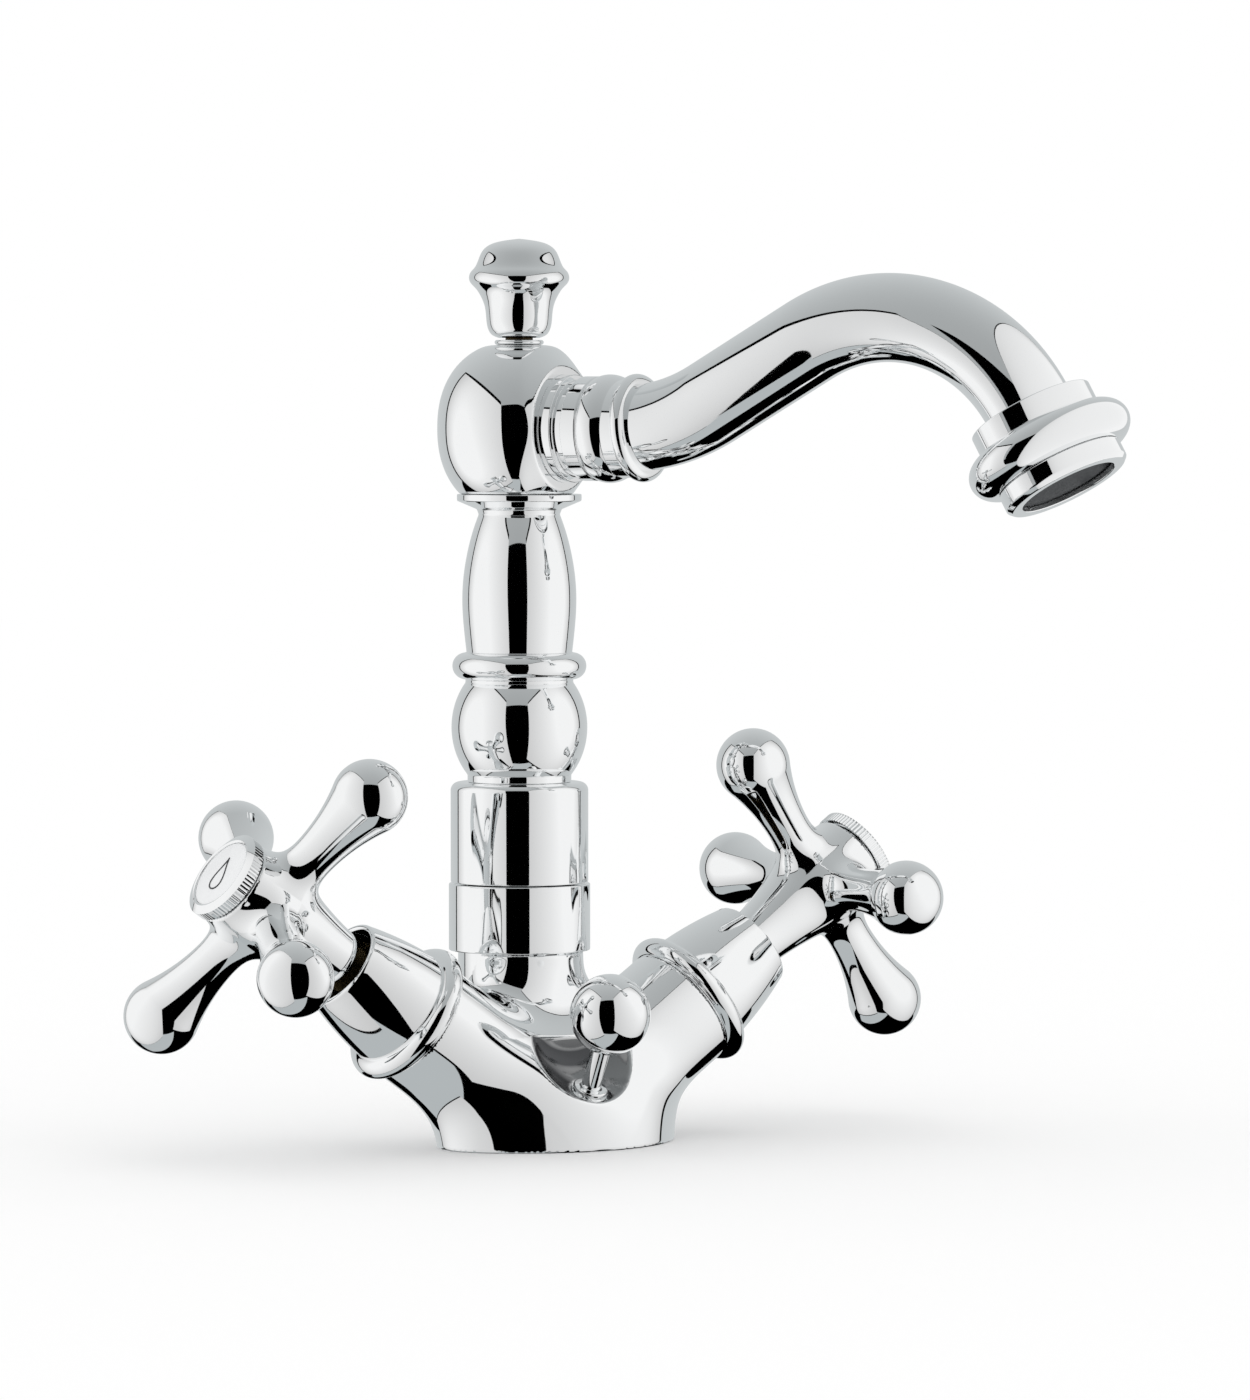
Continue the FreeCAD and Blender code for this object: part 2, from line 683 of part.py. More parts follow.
def handle_cross():
    """Cross handle about Z, arms along X and Y, before it is turned."""
    hub_middle = (handle_stem_bottom + handle_hub_swell_position) / 2
    stem_end = (handle_stem_bottom + cover_mouth_position) / 2
    sweep = [
        (handle_stem_radius, stem_end),
        (handle_stem_radius + (handle_hub_radius - handle_stem_radius) / 4, hub_middle),
        (handle_hub_radius, handle_hub_swell_position),
        (handle_face_radius, (handle_hub_swell_position + handle_face) / 2),
        (handle_face_radius, handle_face),
    ]
    hub = spun((0, handle_stem_bottom), (handle_stem_radius, handle_stem_bottom), sweep, (0, handle_face))
    # The waist's hollow arc touches the ball: its radius follows from the two reaches.
    span = handle_ball_reach - handle_waist_reach
    hollow = (span ** 2 + handle_waist_radius ** 2 - handle_ball_radius ** 2)
    hollow = hollow / (2 * (handle_ball_radius - handle_waist_radius))
    reach = hollow + handle_ball_radius
    turn = asin(span / reach)
    touch = (handle_ball_radius * cos(turn), handle_ball_reach - handle_ball_radius * sin(turn))
    half = (handle_waist_radius + hollow * (1 - cos(turn / 2)), handle_waist_reach + hollow * sin(turn / 2))
    side = (handle_ball_radius * sin(pi / 4), handle_ball_reach + handle_ball_radius * sin(pi / 4))
    arm = spun((0, 0), (handle_waist_radius, 0), (handle_waist_radius, handle_waist_reach), (half, touch),
               (side, (0, handle_ball_reach + handle_ball_radius)))
    arms = []
    for k in range(handle_arm_count):
        angle = 2 * pi * k / handle_arm_count
        axis = V(cos(angle), sin(angle), 0)
        arms.append(placed(arm, UP, axis.cross(UP).negative(), axis, V(0, 0, handle_plane)))
    return hub.fuse(arms)


def handle(side, turn):
    """Cross handle with its spline bore, screw hole and index recess."""
    body = handle_cross()
    roots = [edge for edge in body.Edges if is_arm_root(edge)]
    body = body.makeFillet(handle_root_fillet, roots)
    body = body.cut(rod(spindle_radius + fixed_clearance, handle_stem_bottom, handle_web_bottom))
    body = body.cut(rod(handle_screw_radius + fixed_clearance, handle_web_bottom, handle_recess_floor))
    body = body.cut(rod(handle_recess_radius, handle_recess_floor, handle_face))
    body.rotate(ORIGIN, UP, turn)
    return on_arm(body, side)


def is_arm_root(edge):
    """True for the edges where the arms leave the hub."""
    box = edge.BoundBox
    middle_z = (box.ZMin + box.ZMax) / 2
    far = max(abs(box.XMin), abs(box.XMax), abs(box.YMin), abs(box.YMax))
    near_plane = abs(middle_z - handle_plane) < handle_waist_radius
    return near_plane and far < handle_waist_reach and box.ZLength > 0


def handle_screw(side):
    """Slotted screw that holds the handle on its spindle."""
    head_top = handle_recess_floor + handle_screw_head_height
    screw = rod(handle_screw_radius, spindle_top - handle_screw_reach, handle_recess_floor)
    screw = screw.fuse(rod(handle_screw_head_radius, handle_recess_floor, head_top))
    slot_bottom = head_top - handle_screw_slot_depth
    slot_corner = V(-handle_screw_head_radius, -handle_screw_slot_width / 2, slot_bottom)
    slot = Part.makeBox(2 * handle_screw_head_radius, handle_screw_slot_width, handle_screw_slot_depth,
                        slot_corner)
    return on_arm(screw.cut(slot), side)


def index_ring(side):
    """Knurled ring pressed into the handle, which holds the index disc."""
    skirt = handle_recess_radius - fixed_clearance
    skirt_bottom = handle_face - index_skirt_depth
    top = handle_face + index_ring_height
    land = top - index_disc_sink - index_disc_height
    knurl_top = top - index_bevel_height
    seat = index_disc_radius + fixed_clearance
    bevel = ((index_ring_radius + index_disc_radius) / 2 + knurl_depth, top - index_bevel_height / 3)
    ring = spun((skirt, skirt_bottom), (skirt, handle_face), (index_ring_radius, handle_face),
                (index_ring_radius, knurl_top), (bevel, (seat, top)), (seat, land),
                (skirt - index_skirt_wall, land), (skirt - index_skirt_wall, skirt_bottom))
    nick = rod(knurl_depth, handle_face, knurl_top).translated(V(index_ring_radius, 0, 0))
    nicks = []
    for k in range(knurl_count):
        copy = nick.copy()
        copy.rotate(ORIGIN, UP, 360 * k / knurl_count)
        nicks.append(copy)
    return on_arm(ring.cut(nicks), side)


def index_disc(side):
    """Plain enamelled disc in the index ring."""
    top = handle_face + index_ring_height - index_disc_sink
    return on_arm(rod(index_disc_radius, top - index_disc_height, top), side)


def spout_ring_nut():
    """Ring nut that holds the spout's split ring down on the neck."""
    top = nut_top
    lip = top - nut_lip_height
    thread = neck_thread_radius + fixed_clearance
    bore = spigot_radius + running_clearance
    return on_column(spun(
        (thread, nut_bottom), (nut_radius - nut_chamfer, nut_bottom), (nut_radius, nut_bottom + nut_chamfer),
        (nut_radius, top - nut_chamfer), (nut_radius - nut_chamfer, top), (bore, top), (bore, lip),
        (thread, lip)))


def swivel_slip_washer():
    """Slippery washer between the neck and the split ring."""
    bore = spigot_radius + running_clearance
    return on_column(tube(neck_thread_radius, bore, neck_top_height, neck_top_height + slip_washer_height))


def swivel_split_ring():
    """Open ring that snaps into the spigot's groove."""
    bottom = split_ring_bottom
    ring = tube(split_ring_radius, split_ring_bore, bottom, bottom + split_ring_height)
    opening = Part.makeBox(split_ring_radius, split_ring_opening, split_ring_height,
                           V(0, -split_ring_opening / 2, bottom))
    return swung(ring.cut(opening))


def swivel_sleeve():
    """Turned sleeve with the spigot that turns in the neck."""
    bottom = sleeve_bottom
    body = rod(spigot_radius, spigot_bottom, bottom)
    edge = sleeve_radius - sleeve_edge_round
    diagonal = sleeve_edge_round * sin(pi / 4)
    shoulder = (edge + diagonal, sleeve_top - sleeve_edge_round + diagonal)
    round_start = (sleeve_radius, sleeve_top - sleeve_edge_round)
    body = body.fuse(spun((0, bottom), (sleeve_radius, bottom), round_start, (shoulder, (edge, sleeve_top)),
                          (0, sleeve_top)))
    body = body.cut(rod(sleeve_bore_radius, spigot_bottom, sleeve_top))
    tail_bottom = sleeve_top - baluster_tail_length - fixed_clearance
    body = body.cut(rod(baluster_tail_radius + fixed_clearance, tail_bottom, sleeve_top))
    ring_bottom = split_ring_bottom
    body = body.cut(tube(spigot_radius, split_ring_bore - fixed_clearance, ring_bottom - fixed_clearance,
                         ring_bottom + split_ring_height + fixed_clearance))
    for height in swivel_seal_heights:
        body = body.cut(tube(spigot_radius, spigot_radius - 2 * swivel_seal_section,
                             height - swivel_seal_section, height + swivel_seal_section))
    return on_column(body)


def swivel_seals():
    """Two O-rings on the spigot."""
    section = swivel_seal_section - fixed_clearance
    rings = [seal(spigot_radius - swivel_seal_section, section, height) for height in swivel_seal_heights]
    return on_column(Part.makeCompound(rings))


def bead_at(height):
    """Radius of the bead at a height."""
    return bead_radius * sqrt(1 - ((height - bead_height) / bead_half_height) ** 2)


def baluster():
    """Turned column: bead, ring, vase and the plate that carries the head."""
    bead_foot = bead_foot_height
    steps = 6
    bead_heights = [bead_foot + (bead_neck_height - bead_foot) * k / steps for k in range(1, steps + 1)]
    bead = [(bead_at(height), height) for height in bead_heights]
    ring_bottom = ring_height - ring_half_height
    neck = bead_at(bead_neck_height)
    vase = [(vase_radius * r, vase_bottom + vase_height * h)
            for r, h in zip(vase_radius_shares, vase_height_shares)]
    tail_top = plate_top + head_tail_length
    tail_bottom = sleeve_top - baluster_tail_length
    return on_column(spun(
        (baluster_bore_radius, tail_bottom), (baluster_tail_radius, tail_bottom),
        (baluster_tail_radius, sleeve_top), (bead_foot_radius, sleeve_top), (bead_foot_radius, bead_foot),
        bead, (neck, ring_bottom),
        half_round(ring_radius, neck, ring_height, ring_half_height), (neck, vase_bottom), vase[0], vase[1:],
        (plate_root_radius, plate_root_height), (plate_radius, plate_bottom), (plate_radius, plate_top),
        (head_tail_radius, plate_top), (head_tail_radius, tail_top), (baluster_bore_radius, tail_top)))


def head_at(height):
    """Radius of the spout head at a height above its middle."""
    return head_radius * (1 - abs(height / head_half_height) ** head_fullness) ** (1 / head_fullness)


def spout_head():
    """Hollow ball head with a flat for the spout and a tapped top for the finial."""
    low = plate_top - head_height
    high = head_top - head_height
    steps = 12
    heights = [low + (high - low) * k / steps for k in range(1, steps + 1)]
    side = [(head_at(height), head_height + height) for height in heights]
    ball = spun((0, plate_top), (head_at(low), plate_top), side, (0, head_top))
    ball = ball.cut(Part.makeSphere(head_cavity_radius, V(0, 0, head_height)))
    ball = ball.cut(rod(head_tail_radius + fixed_clearance, plate_top, head_height))
    ball = ball.cut(rod(finial_stem_radius + fixed_clearance, head_height, head_top))
    ball = on_column(ball)
    ball = ball.cut(on_spout(rod(2 * head_half_height, head_flat_reach, cut_overrun)))
    bevel = (2 * head_flat_radius, head_flat_reach - head_flat_radius)
    ball = ball.cut(on_spout(spun((head_flat_radius, head_flat_reach), bevel, (bevel[0], head_flat_reach))))
    return ball.cut(on_spout(rod(collar_tail_radius + fixed_clearance, 0, head_flat_reach)))


def finial_washer():
    """Small ring under the finial."""
    edge = finial_washer_height / 2
    bore = finial_stem_radius + fixed_clearance
    ring = half_round(finial_washer_radius, finial_washer_radius - edge, head_top + edge, edge)
    return on_column(spun((bore, head_top), (finial_washer_radius - edge, head_top), ring,
                          (bore, head_top + finial_washer_height)))


def finial_stem():
    """Screwed stud between the head and the finial."""
    return on_column(rod(finial_stem_radius, head_top - finial_stem_length / 2,
                         finial_bottom + finial_bore_depth - fixed_clearance))


def finial_knob():
    """Turned finial on the head."""
    bottom = finial_bottom
    side = [(finial_radius * r, bottom + finial_height * h)
            for r, h in zip(finial_radius_shares, finial_height_shares)]
    knob = spun((0, bottom), side[0], side[1:])
    return on_column(knob.cut(rod(finial_stem_radius + fixed_clearance, bottom, bottom + finial_bore_depth)))


def collar_ring():
    """Half-round ring at the collar's end, square to the tube's first bend."""
    turn = asin((collar_ring_reach - tube_bend_reach) / tube_first_bend)
    lift = head_height + tube_first_bend * (1 - cos(turn))
    half = collar_ring_half_height
    base = (collar_waist_radius + tube_radius) / 2
    ring = spun((collar_water_radius, -half), (base, -half), half_round(collar_radius, base, 0, half),
                (collar_water_radius, half))
    axis = V(cos(turn), 0, sin(turn))
    across = V(0, 1, 0)
    return swung(placed(ring, across.cross(axis), across, axis, V(collar_ring_reach, 0, lift)))


def spout_collar():
    """Turned collar that joins the tube to the head."""
    groove = collar_step_radius - collar_groove_depth
    tail = head_flat_reach - collar_tail_length
    body = spun(
        (collar_water_radius, tail), (collar_tail_radius, tail), (collar_tail_radius, head_flat_reach),
        (collar_radius, head_flat_reach), (collar_radius, collar_step_reach), (groove, collar_step_reach),
        (groove, collar_band_reach), (collar_step_radius, collar_band_reach),
        (collar_step_radius, collar_band_end),
        ((collar_radius, collar_barrel_reach), (collar_waist_radius, collar_waist_reach)),
        (collar_waist_radius, collar_ring_reach), (collar_water_radius, collar_ring_reach))
    return on_spout(body).fuse(collar_ring()).cut(swung(spout_bar(tube_radius + fixed_clearance)))


def spout_bar(radius):
    """Solid bar along the spout's centreline, of lines and tangent arcs."""
    start, bend, bend_mid, climb, crest, over, end = spout_points()
    lean = radians(outlet_lean)
    tip = end + V(sin(lean), 0, -cos(lean)) * tube_end_depth
    path = Part.Wire([
        Part.makeLine(start, bend), Part.Arc(bend, bend_mid, climb).toShape(), Part.makeLine(climb, crest),
        Part.Arc(crest, over, end).toShape(), Part.makeLine(end, tip)])
    section = Part.Wire(Part.makeCircle(radius, start, V(1, 0, 0)))
    return path.makePipeShell([section], True)


def spout_tube():
    """Bent spout tube."""
    return swung(spout_bar(tube_radius).cut(spout_bar(tube_radius - tube_wall)))


def outlet_collar():
    """Turned end of the spout with a band, a fat ring and the aerator's thread."""
    bore = tube_radius + fixed_clearance
    thread = aerator_thread_radius + fixed_clearance
    ring_middle = outlet_band_height + outlet_ring_half_height
    step = outlet_foot_radius
    side = ((outlet_ring_radius, ring_middle), (step, ring_middle + outlet_ring_half_height))
    washer_top_reach = aerator_thread_top - aerator_washer_height
    return on_outlet(spun(
        (bore, 0), (outlet_band_radius, 0), (outlet_band_radius, outlet_band_height),
        (step, outlet_band_height), side, (step, outlet_foot_height), (thread, outlet_foot_height),
        (thread, washer_top_reach),
        (tube_radius - tube_wall, washer_top_reach), (tube_radius - tube_wall, tube_end_depth),
        (bore, tube_end_depth)))


def aerator_shell():
    """Screwed shell of the aerator."""
    bevel = aerator_shell_bevel
    lip = aerator_shell_end - aerator_lip_height
    return on_outlet(spun(
        (aerator_shell_bore, aerator_thread_top), (aerator_thread_radius, aerator_thread_top),
        (aerator_thread_radius, outlet_foot_height), (aerator_shell_radius, outlet_foot_height),
        (aerator_shell_radius, aerator_shell_end - bevel), (aerator_shell_radius - bevel, aerator_shell_end),
        (aerator_opening_radius, aerator_shell_end), (aerator_opening_radius, lip),
        (aerator_shell_bore, lip)))


def aerator_washer():
    """Rubber washer above the aerator."""
    bottom = aerator_thread_top - aerator_washer_height
    radius = aerator_thread_radius - fixed_clearance
    return on_outlet(tube(radius, aerator_washer_bore, bottom, aerator_thread_top))


def aerator_screen():
    """Woven screen that lies on the shell's lip, as one disc."""
    bottom = aerator_shell_end - aerator_lip_height - aerator_screen_height
    return on_outlet(rod(aerator_shell_bore - fixed_clearance, bottom, bottom + aerator_screen_height))


def aerator_insert():
    """Moulded insert with a ring of jet holes, above the screen."""
    end = aerator_shell_end - aerator_lip_height - aerator_screen_height
    radius = aerator_shell_bore - fixed_clearance
    disc = rod(radius, end - aerator_insert_height, end)
    ring = radius * aerator_hole_ring_share
    holes = []
    for k in range(aerator_hole_count):
        angle = 2 * pi * k / aerator_hole_count
        spot = V(ring * cos(angle), ring * sin(angle), 0)
        holes.append(rod(aerator_hole_radius, end - aerator_insert_height, end).translated(spot))
    return on_outlet(disc.cut(holes))


def save(name, shape):
    """Write one node's solids."""
    os.makedirs("parts", exist_ok=True)
    shape.exportStep("parts/" + name + ".step")


fixed_pieces = (
    body_casting, base_gasket, popup_guide_bush, popup_rod, popup_knob,
    spout_ring_nut, swivel_slip_washer, swivel_split_ring, swivel_sleeve, swivel_seals,
    baluster, spout_head, finial_washer, finial_stem, finial_knob,
    spout_collar, spout_tube, outlet_collar,
    aerator_shell, aerator_washer, aerator_insert, aerator_screen,
)
valve_pieces = (
    headwork, headwork_seal, spindle, spindle_seal, spindle_clip, washer_carrier, seat_washer, washer_screw,
    bonnet_cover, handle_screw, index_ring, index_disc,
)
handle_turns = {"hot": hot_handle_turn, "cold": cold_handle_turn}

for piece in fixed_pieces:
    save(piece.__name__, piece())
for name, side in SIDES.items():
    for piece in valve_pieces:
        save(name + "_" + piece.__name__, piece(side))
    save(name + "_handle", handle(side, handle_turns[name]))
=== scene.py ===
import json
import math

import bpy
import numpy as np
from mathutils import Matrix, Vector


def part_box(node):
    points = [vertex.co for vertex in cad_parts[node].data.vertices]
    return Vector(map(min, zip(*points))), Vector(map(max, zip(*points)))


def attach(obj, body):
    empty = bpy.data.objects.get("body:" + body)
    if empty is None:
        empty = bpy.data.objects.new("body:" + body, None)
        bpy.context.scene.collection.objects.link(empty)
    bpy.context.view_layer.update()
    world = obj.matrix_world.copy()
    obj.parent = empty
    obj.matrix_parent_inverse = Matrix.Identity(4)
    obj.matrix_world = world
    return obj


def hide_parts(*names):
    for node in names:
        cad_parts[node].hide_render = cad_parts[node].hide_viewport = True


# The frame of the basin mixer. Sizes below are in millimetres, and a mesh is made in metres.
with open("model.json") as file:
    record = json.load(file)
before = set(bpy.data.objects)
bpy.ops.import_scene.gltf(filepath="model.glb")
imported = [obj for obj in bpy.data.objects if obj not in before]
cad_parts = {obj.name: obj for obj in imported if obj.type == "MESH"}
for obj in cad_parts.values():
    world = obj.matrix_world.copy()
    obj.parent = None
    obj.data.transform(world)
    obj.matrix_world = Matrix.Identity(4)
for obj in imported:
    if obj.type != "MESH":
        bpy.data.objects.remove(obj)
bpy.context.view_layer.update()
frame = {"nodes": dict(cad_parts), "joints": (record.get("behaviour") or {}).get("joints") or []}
joints = {joint["name"]: joint for joint in frame["joints"]}
MM = 0.001


# Body casting: the polished brass casting, with a flared neck for the spout, two valve arms
# and a ball-shaped scoop for the lift rod. It stands on the basin's deck on its flat foot.
upward = np.array([0.0, 0.0, 1.0])
column_setback = joints["spout_swivel"]["pos_m"][1] / MM
arm_axis_height = joints["hot_handle_turn"]["pos_m"][2] / MM
arm_axes = {side: np.array(joints[side + "_handle_turn"]["axis"]) for side in ("hot", "cold")}
rod_axis = np.array(joints["lift_knob_slide"]["axis"])
column_foot = np.array([0.0, column_setback, 0.0])
arm_centre = upward * arm_axis_height
rod_exit = np.array([0.0, -17.8, 15.4])
foot_front_centre = np.array([0.0, 10.0])
foot_front_radius = 32.0
foot_corner_radius = 12.0
foot_corner_spread = 15.0
foot_rear_radius = 13.9
foot_top_round = 14.0
neck_radius = 13.56
neck_shoulder = 39.8
neck_thread_radius = 13.05
neck_top = 48.6
flare_start = 38.0
flare_radius = 18.3
flare_turn = math.radians(52.0)
arm_radius = 13.5
arm_length = 40.2
casting_blend = 11.0
casting_edge = 0.8
pocket_rim = 0.9
pocket_radius = 19.0
pocket_half_width = 16.5
pocket_back = 10.2
pocket_corner = 4.0
# Painted shade in the scoop: how it fades in at the rim and at the back wall, its dark colour and its haze.
pocket_rim_fade = (0.3, -0.1)
pocket_back_fade = (-0.2, 0.3)
pocket_painted_shade = (0.085, 0.088, 0.092, 1.0)
pocket_haze = 0.13
knob_stand = 14.9
spigot_bore = 10.95
well_floor = 24.0
chamber_radius = 10.13
seat_position = 25.4
seat_bore_radius = 4.0
supply_start = 10.0
mixing_duct_radius = 3.0
mixing_duct_position = 28.2
mixing_duct_exit = 30.0
inlet_spread = 9.5
inlet_radius = 4.5
inlet_depth = 12.0
stud_place = np.array([0.0, 11.0, 0.0])
stud_radius = 3.4
bush_lip_radius = 4.3
bush_radius = 3.4
rod_bore_depth = 30.0
bore_overrun = 1.0
gasket_inset = 2.2
gasket_width = 3.0
gasket_groove = 1.6
casting_step = 0.55
settling_rounds = 6
probe_share = 0.02
least_slope = 0.05
knob_centre = rod_exit + rod_axis * knob_stand
rod_front = np.array([0.0, -rod_axis[2], rod_axis[1]])
pocket_squeeze = np.array([pocket_radius / pocket_half_width, 1.0, 1.0])


def merged(first, second, size):
    """Union of two distance fields with a hollow blend of that size."""
    overlap = np.maximum(size - np.abs(first - second), 0) / size
    return np.minimum(first, second) - overlap ** 3 * size / 6


def trimmed(first, second, size):
    """Overlap of two distance fields with a rounded edge of that size."""
    return -merged(-first, -second, size)


def bar(points, start, end, radius, edge):
    """Distance field of a round bar between two points."""
    length = np.linalg.norm(end - start)
    axis = (end - start) / length
    along = (points - start) @ axis
    across = np.linalg.norm(points - start - along[..., None] * axis, axis=-1)
    return trimmed(across - radius, np.abs(along - length / 2) - length / 2, edge)


def foot_outline(x, y):
    """Distance to the egg-shaped outline of the foot: front arc, corners, flanks and round back."""
    spot = np.stack([np.abs(x), y], -1)
    drop = math.sqrt((foot_front_radius - foot_corner_radius) ** 2 - foot_corner_spread ** 2)
    corner = np.array([foot_corner_spread, foot_front_centre[1] - drop])
    rear = column_foot[:2]
    joining = (corner - foot_front_centre) / np.linalg.norm(corner - foot_front_centre)
    run = rear - corner
    lean = math.asin((foot_rear_radius - foot_corner_radius) / np.linalg.norm(run))
    flank = math.atan2(run[1], run[0]) - math.pi / 2 - lean
    outward = np.array([math.cos(flank), math.sin(flank)])
    along = np.array([-outward[1], outward[0]])
    from_front, from_corner, from_rear = spot - foot_front_centre, spot - corner, spot - rear
    ahead = joining[0] * from_front[..., 1] - joining[1] * from_front[..., 0] < 0
    return np.select(
        [from_rear @ along > 0, from_corner @ along > 0, ahead],
        [np.linalg.norm(from_rear, axis=-1) - foot_rear_radius,
         from_corner @ outward - foot_corner_radius,
         np.linalg.norm(from_front, axis=-1) - foot_front_radius],
        np.linalg.norm(from_corner, axis=-1) - foot_corner_radius)


def neck_flare(points):
    """Distance to the neck, which sweeps out downwards into a slope, about the column."""
    dip = np.maximum(flare_start - points[..., 2], 0)
    arc_dip = np.minimum(dip, flare_radius * math.sin(flare_turn))
    drop = np.sqrt(flare_radius ** 2 - arc_dip ** 2)
    radius = neck_radius + flare_radius - drop + (dip - arc_dip) * math.tan(flare_turn)
    across = np.linalg.norm((points - column_foot)[..., :2], axis=-1)
    return (across - radius) * drop / flare_radius


def casting_bores():
    """Bores of the casting, each as its start, its end and its radius."""
    well = column_foot + upward * well_floor
    bores = [(well, column_foot + upward * (neck_top + bore_overrun), spigot_bore),
             (rod_exit - rod_axis * rod_bore_depth, rod_exit, bush_radius),
             (rod_exit + rod_axis * (knob_stand - pocket_radius), rod_exit, bush_lip_radius),
             (stud_place - upward * inlet_depth, stud_place + upward * inlet_depth, stud_radius)]
    for axis in arm_axes.values():
        inlet = np.array([np.sign(axis[0]) * inlet_spread, 0, 0])
        duct = arm_centre + axis * mixing_duct_position
        mouth = arm_centre + axis * (arm_length + bore_overrun)
        bores += [(arm_centre + axis * seat_position, mouth, chamber_radius),
                  (arm_centre + axis * supply_start, mouth, seat_bore_radius),
                  (duct, column_foot + upward * mixing_duct_exit, mixing_duct_radius),
                  (inlet - upward * inlet_depth, inlet + upward * inlet_depth, inlet_radius)]
    return bores


def casting_field(points):
    """Distance field of the whole casting, with its bores."""
    x, y, z = np.moveaxis(points, -1, 0)
    outline = foot_outline(x, y)
    body = trimmed(outline, neck_flare(points), foot_top_round)
    body = trimmed(body, z - neck_shoulder, casting_edge)
    for axis in arm_axes.values():
        arm = bar(points, arm_centre, arm_centre + axis * arm_length, arm_radius, casting_edge)
        body = merged(body, arm, casting_blend)
    thread = bar(points, column_foot + upward * well_floor, column_foot + upward * neck_top,
                 neck_thread_radius, casting_edge)
    body = trimmed(np.minimum(body, thread), -z, casting_edge)
    scoop = pocket_radius - np.linalg.norm((points - knob_centre) * pocket_squeeze, axis=-1)
    from_back = (points - knob_centre) @ rod_front + pocket_back
    body = trimmed(body, merged(scoop, from_back, pocket_corner), pocket_rim)
    for start, end, radius in casting_bores():
        body = trimmed(body, -bar(points, start, end, radius, casting_edge), casting_edge)
    from_gasket = np.abs(outline + gasket_inset + gasket_width / 2) - gasket_width / 2
    return trimmed(body, -np.maximum(from_gasket, z - gasket_groove), casting_edge)


def placed(name, data):
    """Object of a mesh or a camera, linked to the scene."""
    piece = bpy.data.objects.new(name, data)
    bpy.context.scene.collection.objects.link(piece)
    return piece


def add_object(name, points, faces, normals):
    """Smooth mesh object of points in millimetres, with the given normal at each point."""
    mesh = bpy.data.meshes.new(name)
    mesh.from_pydata((np.asarray(points) * MM).tolist(), [], faces)
    mesh.shade_smooth()
    mesh.normals_split_custom_set_from_vertices(np.asarray(normals).tolist())
    return placed(name, mesh)


def field_mesh(field, low, high, step):
    """Points, faces and normals of the surface where a distance field is zero."""
    axes = [np.arange(a - 2 * step, b + 3 * step, step) for a, b in zip(low, high)]
    inside = field(np.stack(np.meshgrid(*axes, indexing="ij"), -1)) < 0
    corners = [inside[i:i - 1 or None, j:j - 1 or None, k:k - 1 or None]
               for i in (0, 1) for j in (0, 1) for k in (0, 1)]
    mixed = np.any(corners, axis=0) & ~np.all(corners, axis=0)
    index = np.full(mixed.shape, -1)
    index[mixed] = np.arange(mixed.sum())
    points = np.stack([axis[spot] + step / 2 for axis, spot in zip(axes, np.nonzero(mixed))], -1)
    faces = []
    for order in ((0, 1, 2), (1, 2, 0), (2, 0, 1)):
        solid = np.transpose(inside, order)[:, 1:-1, 1:-1]
        cells = np.transpose(index, order)
        quads = np.stack([cells[:, :-1, :-1], cells[:, 1:, :-1], cells[:, 1:, 1:], cells[:, :-1, 1:]], -1)
        faces += quads[solid[:-1] & ~solid[1:]].tolist()
        faces += quads[~solid[:-1] & solid[1:]][:, ::-1].tolist()
    reach = step * probe_share
    for _ in range(settling_rounds):
        slope = np.stack([field(points + p) - field(points - p) for p in np.eye(3) * reach], -1) / (2 * reach)
        steep = np.maximum((slope ** 2).sum(-1, keepdims=True), least_slope)
        points = points - np.clip(field(points)[:, None] * slope / steep, -step, step)
    return points, faces, slope / np.linalg.norm(slope, axis=-1, keepdims=True)


def add_node(tree, kind, inputs=None, **settings):
    """New node with its settings. Each input gets a value, a link or a list of links."""
    node = tree.nodes.new(kind)
    for name, value in settings.items():
        setattr(node, name, value)
    for name, value in (inputs or {}).items():
        for item in value if isinstance(value, list) else [value]:
            if isinstance(item, bpy.types.NodeSocket):
                tree.links.new(item, node.inputs[name])
            else:
                node.inputs[name].default_value = item
    return node


def speckle(tree, scale, low=0.0, high=1.0, detail=3.0):
    """Noise on the piece's own coordinates, spread from low to high."""
    place = add_node(tree, "ShaderNodeTexCoord")
    noise = add_node(tree, "ShaderNodeTexNoise",
                     {"Vector": place.outputs["Object"], "Scale": scale, "Detail": detail})
    spread = add_node(tree, "ShaderNodeMapRange",
                      {"Value": noise.outputs["Fac"], "To Min": low, "To Max": high})
    return spread.outputs["Result"]


def tinted(tree, value, dark, pale):
    """Colour between two shades, chosen by a value from 0 to 1."""
    mix = add_node(tree, "ShaderNodeMix", {"Factor": value, "A": dark, "B": pale}, data_type="RGBA")
    return mix.outputs["Result"]


def blank_material(name):
    """New material, its node tree and its surface shader."""
    material = bpy.data.materials.new(name)
    material.use_nodes = True
    return material, material.node_tree, material.node_tree.nodes["Principled BSDF"]


def finish(name, dark, pale, patches, haze, haze_scale, relief=0.0, relief_scale=0.0, relief_detail=3.0,
           metallic=0.0):
    """Material with patches between two shades, uneven haze and a relief of a depth in metres."""
    material, tree, shader = blank_material(name)
    shader.inputs["Metallic"].default_value = metallic
    shade = tinted(tree, speckle(tree, patches), (*dark, 1), (*pale, 1))
    tree.links.new(shade, shader.inputs["Base Color"])
    tree.links.new(speckle(tree, haze_scale, *haze), shader.inputs["Roughness"])
    if relief:
        grain = speckle(tree, relief_scale, detail=relief_detail)
        bump = add_node(tree, "ShaderNodeBump", {"Height": grain, "Strength": 1.0, "Distance": relief})
        tree.links.new(bump.outputs["Normal"], shader.inputs["Normal"])
    return material


